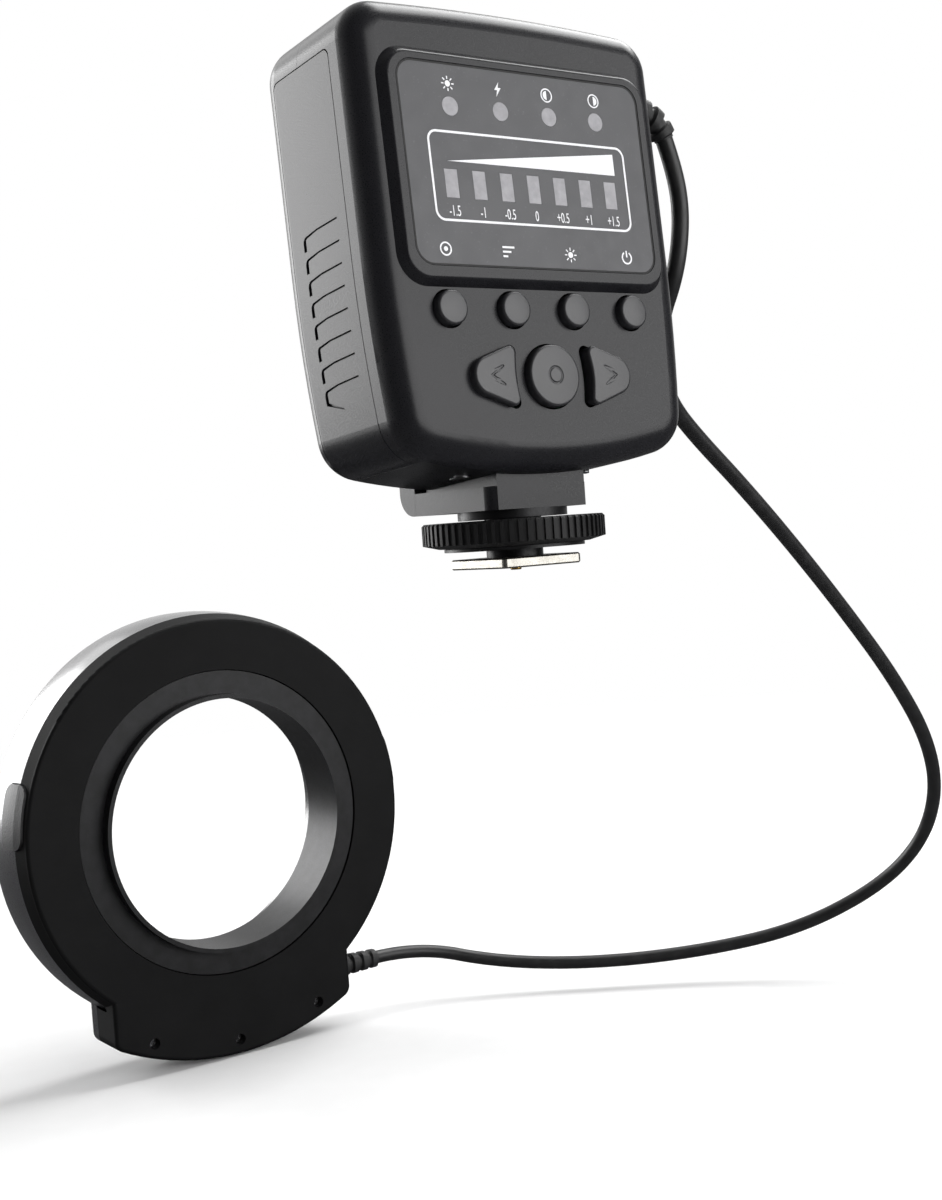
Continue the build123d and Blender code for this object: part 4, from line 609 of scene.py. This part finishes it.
def ink_slabs(outlines):
    """Vertices and faces of flat outlines on the panel, each raised into a slab of ink."""
    vertices, faces, start = [], [], 0
    for outline in outlines:
        outline = np.asarray(outline, float)
        count = len(outline)
        for lift in (ink_low, ink_high):
            vertices.append(on_face(outline[:, 0], outline[:, 1], lift))
        faces.append([start + index for index in reversed(range(count))])
        faces.append([start + count + index for index in range(count)])
        for index in range(count):
            ahead = (index + 1) % count
            faces.append([start + index, start + ahead, start + count + ahead, start + count + index])
        start += 2 * count
    return np.concatenate(vertices), faces


def ink_bands(pairs):
    """The same for closed bands, each given as an outer and an inner outline with as many points."""
    vertices, faces, start = [], [], 0
    for outer, inner in pairs:
        count = len(outer)
        loops = [
            on_face(loop[:, 0], loop[:, 1], lift)
            for loop, lift in ((outer, ink_low), (outer, ink_high), (inner, ink_high), (inner, ink_low))
        ]
        vertices += loops
        for ring in range(4):
            for index in range(count):
                ahead = (index + 1) % count
                first = start + ring * count
                second = start + (ring + 1) % 4 * count
                faces.append([first + index, first + ahead, second + ahead, second + index])
        start += 4 * count
    return np.concatenate(vertices), faces


def rounded_outline(corners, radii, steps=10):
    """A closed outline, counter-clockwise, whose corners are arcs that touch both sides.
    Each arc's centre lies on the corner's bisector, one radius over the sine of the half angle away."""
    corners = [np.array(corner, float) for corner in corners]
    points = []
    for index, corner in enumerate(corners):
        before = corners[index - 1] - corner
        after = corners[(index + 1) % len(corners)] - corner
        before /= np.linalg.norm(before)
        after /= np.linalg.norm(after)
        half = math.acos(np.clip(before @ after, -1, 1)) / 2
        bisector = (before + after) / np.linalg.norm(before + after)
        centre = corner + bisector * radii[index] / math.sin(half)
        start = corner + before * radii[index] / math.tan(half) - centre
        end = corner + after * radii[index] / math.tan(half) - centre
        first = math.atan2(start[1], start[0])
        turn = (math.atan2(end[1], end[0]) - first + math.pi) % (2 * math.pi) - math.pi
        angles = first + turn * np.linspace(0, 1, steps)
        points.append(centre + radii[index] * np.stack([np.cos(angles), np.sin(angles)], -1))
    return np.concatenate(points)


def rounded_box(width, height, radius, middle=(0, 0)):
    """A rounded rectangle round a middle point."""
    x, y = width / 2, height / 2
    outline = rounded_outline([(-x, -y), (x, -y), (x, y), (-x, y)], [radius] * 4)
    return outline + np.array(middle)


def disc(radius, middle=(0, 0), first=0.0, last=360.0, steps=32):
    """Points on an arc, or on a whole circle, from one angle to another in degrees."""
    angles = np.radians(np.linspace(first, last, steps, endpoint=last - first < 360))
    return np.array(middle) + radius * np.stack([np.cos(angles), np.sin(angles)], -1)


def bar(width, height, middle=(0, 0), turn=0.0):
    """A small rectangle, turned round its symbol's middle by an angle in degrees."""
    x, y = width / 2, height / 2
    corners = np.array([(-x, -y), (x, -y), (x, y), (-x, y)]) + np.array(middle)
    cosine, sine = math.cos(math.radians(turn)), math.sin(math.radians(turn))
    return corners @ np.array([[cosine, sine], [-sine, cosine]])


def add_print(name, shape, finish=ink_finish):
    """A piece of flat shaded ink on the panel."""
    add_piece(name, *shape, finish, "display_print", "housing", smooth=False)


# %% Frame, wedge and the painted shade line round the panel
panel_width = np.ptp(panel_points[:, 0])
panel_height = np.ptp(panel_points @ face_up)
panel_corner = 3.6 * mm
border_line = 0.35 * mm
border_gap = 0.02 * mm
frame_width = 45.9 * mm
frame_height = 16.5 * mm
frame_corner = 2 * mm
frame_line = 0.42 * mm
frame_middle = np.array([0.1, -2.2]) * mm
wedge = np.array([(-19, 0.5), (20.2, 0.45), (20.2, 4.55)]) * mm

# Painted shade: this dark band paints the shade in the gap round the recessed panel.
border = [(
    rounded_box(panel_width - border_gap, panel_height - border_gap, panel_corner),
    rounded_box(panel_width - 2 * border_line, panel_height - 2 * border_line, panel_corner - border_line),
)]
add_print("panel_edge_painted_shade", ink_bands(border), gap_shade_finish)
scale_frame = [(
    rounded_box(frame_width, frame_height, frame_corner, frame_middle),
    rounded_box(
        frame_width - 2 * frame_line, frame_height - 2 * frame_line, frame_corner - frame_line, frame_middle
    ),
)]
add_print("scale_frame_print", ink_bands(scale_frame))
add_print("scale_wedge_print", ink_slabs([wedge]))
print("panel in mm:", round(panel_width / mm, 2), "by", round(panel_height / mm, 2))

# %% [markdown]
# ## Numbers
# Blender's own font gives plain figures. A text is a curve, so it is turned into a mesh first, and its flat
# points are then squeezed and lifted onto the panel like any other outline.

# %% Numbers
number_height = 1.9 * mm
number_squeeze_share = 0.62
number_level = -8.5 * mm
number_texts = ["-1.5", "-1", "-0.5", "0", "+0.5", "+1", "+1.5"]
bar_xs = mesh_points(nodes["level_windows"].data)[:, 0]
bar_width = 2.8 * mm
bar_pitch = (np.ptp(bar_xs) - bar_width) / (len(number_texts) - 1)


def number_mesh(text, middle):
    """Vertices and faces of a short text, centred on a point of the panel."""
    curve = bpy.data.curves.new("number", "FONT")
    curve.body = text
    curve.extrude = 0.5
    holder = bpy.data.objects.new("number", curve)
    mesh = bpy.data.meshes.new_from_object(holder)
    flat = mesh_points(mesh)
    faces = [list(polygon.vertices) for polygon in mesh.polygons]
    bpy.data.meshes.remove(mesh)
    bpy.data.objects.remove(holder)
    scale = number_height / np.ptp(flat[:, 1])
    x = (flat[:, 0] - flat[:, 0].min() - np.ptp(flat[:, 0]) / 2) * scale * number_squeeze_share
    y = (flat[:, 1] - flat[:, 1].min() - np.ptp(flat[:, 1]) / 2) * scale
    lift = np.where(flat[:, 2] > 0, ink_high, ink_low)
    return on_face(x + middle[0], y + middle[1], lift), faces


scale_numbers = joined([
    number_mesh(text, ((index - (len(number_texts) - 1) / 2) * bar_pitch, number_level))
    for index, text in enumerate(number_texts)
])
add_print("scale_numbers_print", scale_numbers)
print("bar pitch in mm:", round(bar_pitch / mm, 2))

# %% [markdown]
# ## Symbols
# Each symbol is drawn in a square two units wide and then placed at its size. Only plain signs that any
# maker uses are drawn.

# %% Symbols
symbol_size = 1.35 * mm
status_level = 14.7 * mm
status_symbol_xs = np.array([-17.0, -5.8, 5.6, 17.0]) * mm
key_level = -15.5 * mm
key_symbol_xs = np.array([-21.6, -7.6, 6.9, 20.8]) * mm
rays = [bar(0.16, 0.4, (0, 0.82), turn) for turn in range(0, 360, 45)]
sun = ([disc(0.42)] + rays, [])
bolt = ([[(0.25, 1), (-0.55, -0.1), (-0.08, -0.1), (-0.3, -1), (0.55, 0.22), (0.06, 0.22)]], [])
left_half = ([disc(0.62, (0, 0), 90, 270)], [(disc(1), disc(0.82))])
right_half = ([disc(0.62, (0, 0), -90, 90)], [(disc(1), disc(0.82))])
lamp = ([disc(0.32)], [(disc(0.95), disc(0.74))])
levels = ([bar(2.0, 0.26, (0, 0.62)), bar(1.4, 0.26, (-0.3, 0)), bar(0.8, 0.26, (-0.6, -0.62))], [])
power_gap_angle = 32
power_arc = np.concatenate([
    disc(0.95, (0, 0), 90 + power_gap_angle, 450 - power_gap_angle),
    disc(0.72, (0, 0), 450 - power_gap_angle, 90 + power_gap_angle),
])
power = ([power_arc, bar(0.24, 0.95, (0, 0.55))], [])


def place_symbol(symbol, middle):
    """A symbol's slabs and bands at its size and place on the panel."""
    slabs, bands = symbol
    parts = [ink_slabs([np.asarray(slab) * symbol_size + middle for slab in slabs])]
    if bands:
        parts.append(ink_bands([[loop * symbol_size + middle for loop in pair] for pair in bands]))
    return joined(parts)


status_symbols = joined([
    place_symbol(symbol, (x, status_level))
    for symbol, x in zip((sun, bolt, left_half, right_half), status_symbol_xs)
])
key_symbols = joined([
    place_symbol(symbol, (x, key_level)) for symbol, x in zip((lamp, levels, sun, power), key_symbol_xs)
])
add_print("status_symbols_print", status_symbols)
add_print("key_symbols_print", key_symbols)

# %% [markdown]
# ## Keys
# The keys are moulded caps with a softly rounded rim and a slightly crowned top. Each is a grid: rows run
# from the middle of the top out to the rim, over the rounding and down the side, and columns run round its
# outline. The two side keys carry an engraved arrow and the middle key an engraved ring, which are dips in
# the top's height, so they catch light as a real engraving does.

# %% Keys
key_edge = 0.55 * mm
key_crown = 0.22 * mm
engraving_depth = 0.16 * mm
engraving_half_width = 0.17 * mm
engraving_edge = 0.08 * mm
key_top_rows = 60
key_rim_rows = 6


def inset_outline(outline, inset):
    """Moves each point of a closed outline inwards along its normal, which is its tangent turned left."""
    tangent = np.roll(outline, -1, 0) - np.roll(outline, 1, 0)
    tangent /= np.linalg.norm(tangent, axis=1)[:, None]
    return outline + inset * np.stack([-tangent[:, 1], tangent[:, 0]], -1)


def key_grid(name, outline, engraved=None):
    """The cap's surface. Over the top the height is a crown, a parabola of the distance from the middle,
    less the engraving, and over the rim a quarter circle. The side goes down as deep as the CAD key."""
    points = mesh_points(nodes[name].data)
    top = (points @ face_out).max() - panel_level
    floor = (points @ face_out).min() - panel_level
    middle = middle_of(points[:, 0]), middle_of(points @ face_up) - panel_middle_up
    reach = np.linalg.norm(outline, axis=1).max()
    inner = inset_outline(outline, key_edge)
    shares = np.linspace(0.02, 1, key_top_rows)
    flat = shares[:, None, None] * inner[None]
    height = -key_crown * (np.linalg.norm(flat, axis=2) / reach) ** 2
    if engraved is not None:
        within = engraving_half_width - engraved(flat[..., 0], flat[..., 1])
        height = height - engraving_depth * smooth_step(within, -engraving_edge, engraving_edge)
    turn = np.radians(np.linspace(15, 90, key_rim_rows))
    rim = np.stack([inset_outline(outline, key_edge * (1 - math.sin(t))) for t in turn])
    rim_height = height[-1][None] - key_edge * (1 - np.cos(turn))[:, None]
    side = np.stack([outline, outline])
    side_height = np.repeat([[(top + floor) / 2 - top], [floor - top]], len(outline), 1)
    x = np.concatenate([flat, rim, side])[..., 0] + middle[0]
    y = np.concatenate([flat, rim, side])[..., 1] + middle[1]
    lift = top + np.concatenate([height, rim_height, side_height])
    return on_face(x, y, lift)[:, ::-1]


def make_key(name, outline, engraved=None):
    """A key piece that stands for its CAD node."""
    grid = key_grid(name, outline, engraved)
    piece = add_piece(f"{name}_cap", *closed_rings([grid]), key_finish, "key_plastic", name)
    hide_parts(name)


round_key_radius = 3.2 * mm
for name in ("pilot_key", "mode_key", "light_key", "power_key"):
    make_key(name, disc(round_key_radius, steps=72))

select_key_radius = 5.8 * mm
select_ring_radius = 1.5 * mm
make_key(
    "select_key", disc(select_key_radius, steps=96), lambda x, y: np.abs(np.hypot(x, y) - select_ring_radius)
)

# %% Side keys
side_key_near = 7.4 * mm
side_key_far = 17.4 * mm
side_key_near_half = 6.2 * mm
side_key_far_half = 2.6 * mm
side_key_waist = 0.8 * mm
side_key_near_radius = 1.3 * mm
side_key_far_radius = 3.6 * mm
side_key_waist_radius = 16 * mm
arrow_reach = 1.3 * mm
arrow_half = 1.7 * mm


def side_key_outline(side):
    """A waist on the inner side, a blunt rounded point on the outer side, centred on the key's box."""
    middle = (side_key_near + side_key_far) / 2
    near, far = side_key_near - middle, side_key_far - middle
    corners = [
        (near, -side_key_near_half), (far, -side_key_far_half), (far, side_key_far_half),
        (near, side_key_near_half), (near + side_key_waist, 0),
    ]
    radii = [
        side_key_near_radius, side_key_far_radius, side_key_far_radius, side_key_near_radius,
        side_key_waist_radius,
    ]
    outline = rounded_outline(corners, radii, steps=24)
    return outline if side > 0 else (outline * np.array([-1, 1]))[::-1]


def arrow(side):
    """Distance from the two strokes of an arrow that points away from the middle key."""
    tip = (side * arrow_reach, 0)
    feet = [(-side * arrow_reach, arrow_half), (-side * arrow_reach, -arrow_half)]
    return lambda x, y: distance_to_line(x, y, [feet[0], tip, feet[1]])


make_key("down_key", side_key_outline(-1), arrow(-1))
make_key("up_key", side_key_outline(1), arrow(1))
print("keys:", 7)

# %% [markdown]
# ## Cord boots
# A soft boot keeps the cord from kinking where it enters a housing. It is a row of rubber beads on a thin
# core: the gaps let it bend, the beads stop it from folding. Each boot is one profile of radius along its
# length, carried along the boot's path and turned round it. The beads are a little square, as in the
# picture, which the radius gets from the cosine of four times the angle round the path.

# %% Cord boots
boot_bead_radius = 3.1 * mm
boot_bead_end_radius = 2.65 * mm
boot_core_radius = 2.0 * mm
boot_squareness_share = 0.07
bead_share = 0.62
bead_edge_share = 0.13


def boot_radius(share, count):
    """Radius along the boot. Each of count spans rises from the core to a flat-topped bead and falls
    again. Beads get smaller towards the cord."""
    span = share * count
    phase = np.abs((span % 1) - 0.5) * 2
    bead = 1 - smooth_step(phase, bead_share - bead_edge_share, bead_share + bead_edge_share)
    top = boot_bead_radius + (boot_bead_end_radius - boot_bead_radius) * share
    return boot_core_radius + (top - boot_core_radius) * bead


def boot_grid(middles, sides, ups, radii, columns=40):
    """Rings round a path. Each ring's radius is less between the corners of a soft square."""
    angles = np.linspace(0, 2 * math.pi, columns, endpoint=False)
    squared = 1 - boot_squareness_share * (0.5 + 0.5 * np.cos(4 * angles))
    reach = radii[:, None] * squared[None]
    return (
        middles[:, None] + reach[..., None] * np.cos(angles)[None, :, None] * sides[:, None]
        + reach[..., None] * np.sin(angles)[None, :, None] * ups[:, None]
    )


def make_boot(name, node, grid):
    """A boot piece that stands for its CAD node."""
    piece = add_piece(name, *closed_rings([grid]), boot_finish, "cord_rubber", "housing")
    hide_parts(node)


boot_rows = 150
case_bead_count = 3
ring_bead_count = 4
boot_share = np.linspace(0, 1, boot_rows)

bend_radius = 8.5 * mm
bend_turn = math.radians(65)
bend_start = np.array([35.4, -3.0, 89.5]) * mm
turns = boot_share * bend_turn
bend_middle = bend_start - np.array([0, 0, bend_radius])
outwards = np.stack([np.sin(turns), np.zeros(boot_rows), np.cos(turns)], -1)
across = np.tile([0.0, 1.0, 0.0], (boot_rows, 1))
case_boot_line = bend_middle + bend_radius * outwards
case_boot_radii = boot_radius(boot_share, case_bead_count)
make_boot("case_boot", "cord_boot_controller", boot_grid(case_boot_line, across, outwards, case_boot_radii))

ring_boot_length = 12.2 * mm
ring_boot_start = np.array([cord_route[-1][0] - ring_boot_length, *cord_route[-1][1:]])
ring_boot_line = ring_boot_start + boot_share[:, None] * np.array([ring_boot_length, 0, 0])
upwards = np.tile([0.0, 0.0, 1.0], (boot_rows, 1))
ring_boot_radii = boot_radius(boot_share, ring_bead_count)
make_boot("ring_boot", "cord_boot_ring", boot_grid(ring_boot_line, across, upwards, ring_boot_radii))
print("boots:", 2)

# %% [markdown]
# ## Screws
# Every screw that shows has a low domed head with a cross recess and a threaded shank. The frame already
# holds each screw's place, head and length, so they are measured from its points: points within reach of
# each other belong to one screw. A screw is then one grid turned round its axis. The head's rows carry the
# recess as a dip in their height, and the shank's radius rises and falls with the thread's pitch.

# %% Screws
recess_depth_share = 0.45
recess_length_share = 0.62
recess_width_share = 0.15
dome_share = 0.16
thread_pitch = 0.55 * mm
thread_depth = 0.12 * mm
deepest_head = 0.9 * mm
recess_edge_share = 0.06
head_rows = 26
screw_columns = 56
any_direction = [0.3, 0.5, 0.81]


def screw_groups(name, outwards, reach):
    """The points of each separate screw of a node, found by their distance across the screws' axis."""
    points = mesh_points(nodes[name].data)
    flat = points - (points @ outwards)[:, None] * outwards
    left = np.ones(len(points), bool)
    groups = []
    while left.any():
        near = left & (np.linalg.norm(flat - flat[left][0], axis=1) < reach)
        groups.append(points[near])
        left &= ~near
    return groups


def screw_grid(points, outwards):
    """One screw: head with its dome and recess, its side and underside, then the thread to the tip."""
    side = np.cross(outwards, any_direction)
    side /= np.linalg.norm(side)
    ahead = np.cross(outwards, side)
    middle = (points.max(0) + points.min(0)) / 2
    level = points @ outwards - middle @ outwards
    radius = np.linalg.norm(points - middle - level[:, None] * outwards, axis=1)
    head_radius = radius.max()
    top = level.max()
    under = level[radius > 0.9 * head_radius].min()
    shank_radius = radius[level < level.min() + 0.01 * mm].max()
    angles = np.linspace(0, 2 * math.pi, screw_columns, endpoint=False)
    shares = np.concatenate([np.linspace(0.03, 0.97, head_rows), [1.0]])
    x = shares[:, None] * head_radius * np.cos(angles)
    y = shares[:, None] * head_radius * np.sin(angles)
    near, far = np.minimum(np.abs(x), np.abs(y)), np.maximum(np.abs(x), np.abs(y))
    edge = recess_edge_share * head_radius
    dip = smooth_step(recess_width_share * head_radius - near, -edge, edge)
    dip *= smooth_step(recess_length_share * head_radius - far, -edge, edge)
    depth = recess_depth_share * min(top - under, deepest_head)
    height = top - dome_share * head_radius * shares[:, None] ** 2 - depth * dip
    thread_rows = np.arange(under, level.min(), -thread_pitch / 4)
    thread = shank_radius - thread_depth * (0.5 - 0.5 * np.cos(2 * math.pi * thread_rows / thread_pitch))
    radii = np.concatenate([shares * head_radius, [head_radius], thread])
    heights = np.concatenate([
        height, np.full((1, screw_columns), under), np.repeat(thread_rows[:, None], screw_columns, 1)
    ])
    ring = np.cos(angles)[:, None] * side + np.sin(angles)[:, None] * ahead
    return middle + radii[:, None, None] * ring[None] + heights[..., None] * outwards


def make_screws(name, outwards, reach):
    """Screws in place of a CAD node of screws."""
    grids = [screw_grid(points, outwards) for points in screw_groups(name, outwards, reach)]
    piece = add_piece(f"{name}_crossed", *closed_rings(grids), screw_finish, "screw_steel", "housing")
    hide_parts(name)
    print(name, len(grids))


backwards = np.array([0.0, -1.0, 0.0])
downwards = np.array([0.0, 0.0, -1.0])
make_screws("case_screws", -face_out, reach=5 * mm)
make_screws("ring_screws", backwards, reach=3 * mm)
make_screws("neck_screws", downwards, reach=2.3 * mm)
make_screws("foot_screws", downwards, reach=3 * mm)

# %% [markdown]
# ## Studio
# The object hangs over a plain pale floor in front of a white backdrop. Satin black plastic is mostly seen
# by what it reflects, so the lamps are large soft panels: one in front on the left for the side wall, one
# behind on the right for the rear face, one above, and a weak one high in front for the top's edge. Between
# them the plastic reflects a dim room, which gives the dark band on the rounded corner.

# %% Lamps
case_middle = Vector((0, 0, 0.06))


def soft_panel(name, place, width, height, power):
    """A rectangular area lamp that faces the case."""
    data = bpy.data.lights.new(name, "AREA")
    data.shape = "RECTANGLE"
    data.size = width
    data.size_y = height
    data.energy = power
    lamp_object = bpy.data.objects.new(name, data)
    away = case_middle - Vector(place)
    lamp_object.matrix_world = Matrix.Translation(place) @ away.to_track_quat("-Z", "Y").to_matrix().to_4x4()
    bpy.context.scene.collection.objects.link(lamp_object)


soft_panel("side_panel", (-0.58, 1.49, 0.2), width=0.9, height=1.4, power=23)
soft_panel("rear_panel", (0.5, -1.2, 0.25), width=1.5, height=1.1, power=18)
soft_panel("top_panel", (0.72, 0.1, 1.02), width=0.9, height=0.8, power=16)
soft_panel("back_panel", (-0.2, 1.3, 0.95), width=0.9, height=0.7, power=2.5)

# %% [markdown]
# ## World
# What a ray meets outside depends on the ray. The camera and rays through clear plastic meet the white
# backdrop. Mirrored rays meet most of that white when they go on away from the camera, and a nearly dark
# room otherwise. Every other ray is lit by a moderate room.

# %% World
world = bpy.data.worlds.new("backdrop")
bpy.context.scene.world = world
world.use_nodes = True
tree = world.node_tree
tree.nodes.clear()
room_strength = 0.25
mirrored_room_strength = 0.05
backdrop_near = -0.1
backdrop_far = 0.7
mirrored_backdrop_share = 0.8
ray = tree.nodes.new("ShaderNodeLightPath")
direction = tree.nodes.new("ShaderNodeTexCoord")
parts = tree.nodes.new("ShaderNodeSeparateXYZ")
tree.links.new(direction.outputs["Generated"], parts.inputs[0])
ahead_share = between(tree, parts.outputs["Y"], backdrop_near, backdrop_far, 0, mirrored_backdrop_share)
seen = combine(tree, "MAXIMUM", ray.outputs["Is Camera Ray"], ray.outputs["Is Transmission Ray"])
mirrored = combine(tree, "MULTIPLY", ray.outputs["Is Glossy Ray"], ahead_share)
white_share = combine(tree, "MAXIMUM", seen, mirrored)
room = tree.nodes.new("ShaderNodeBackground")
room.inputs["Color"].default_value = (1, 1, 1, 1)
dimmed = between(tree, ray.outputs["Is Glossy Ray"], 0, 1, room_strength, mirrored_room_strength)
tree.links.new(dimmed, room.inputs["Strength"])
backdrop = tree.nodes.new("ShaderNodeBackground")
backdrop.inputs["Color"].default_value = (1, 1, 1, 1)
backdrop.inputs["Strength"].default_value = 1
outside = blended(tree, white_share, room.outputs[0], backdrop.outputs[0])
world_output = tree.nodes.new("ShaderNodeOutputWorld")
tree.links.new(outside, world_output.inputs["Surface"])

# %% [markdown]
# ## Floor
# The floor is a plain disc just under the object. Close by it takes the shadow, and further off it fades to
# white for the camera, so no horizon shows. Seen as a reflection in the plastic it is a dull grey, like the
# shaded floor of a room.

# %% Floor
floor_drop = 0.5 * mm
floor_reach = 4.0
shadow_reach = 0.35
fade_reach = 0.9
floor_sectors = 48
floor_level = cad_box[0][2] - floor_drop
floor_radii = np.array([0.02, 0.1, 0.3, 0.6, 1.2, 2.4, floor_reach])
floor_angles = np.linspace(0, 2 * math.pi, floor_sectors, endpoint=False)
floor_grid = np.stack([
    floor_radii[:, None] * np.cos(floor_angles), floor_radii[:, None] * np.sin(floor_angles),
    np.full((len(floor_radii), floor_sectors), floor_level),
], -1)
floor_mesh = bpy.data.meshes.new("floor")
floor_faces = ring_faces(*floor_grid.shape[:2])[:-floor_sectors]
floor_vertices = np.concatenate([[(0, 0, floor_level)], floor_grid.reshape(-1, 3)])
floor_mesh.from_pydata(floor_vertices.tolist(), [], floor_faces)
floor = bpy.data.objects.new("floor", floor_mesh)
bpy.context.scene.collection.objects.link(floor)
floor_finish, tree, shader = new_finish("pale_floor", "f2f2f2", 0.9)
shader.inputs["Specular IOR Level"].default_value = 0.1
speckle = spread(tree, noise(tree, 8 * mm, 4))
tree.links.new(mixed(tree, speckle, "f2f2f2", "f4f4f4"), shader.inputs["Base Color"])
far_off = tree.nodes.new("ShaderNodeVectorMath")
far_off.operation = "LENGTH"
tree.links.new(object_point(tree), far_off.inputs[0])
fade = between(tree, far_off.outputs["Value"], shadow_reach, fade_reach)
ray = tree.nodes.new("ShaderNodeLightPath")
seen_fade = combine(tree, "MULTIPLY", ray.outputs["Is Camera Ray"], fade)
glow = tree.nodes.new("ShaderNodeEmission")
shade = tree.nodes.new("ShaderNodeBsdfDiffuse")
shade.inputs["Color"].default_value = paint("505051")
lit = blended(tree, seen_fade, shader.outputs[0], glow.outputs[0])
surface = blended(tree, ray.outputs["Is Glossy Ray"], lit, shade.outputs[0])
tree.links.new(surface, tree.nodes["Material Output"].inputs["Surface"])
floor.data.materials.append(floor_finish)
bpy.context.scene.view_settings.view_transform = "Standard"
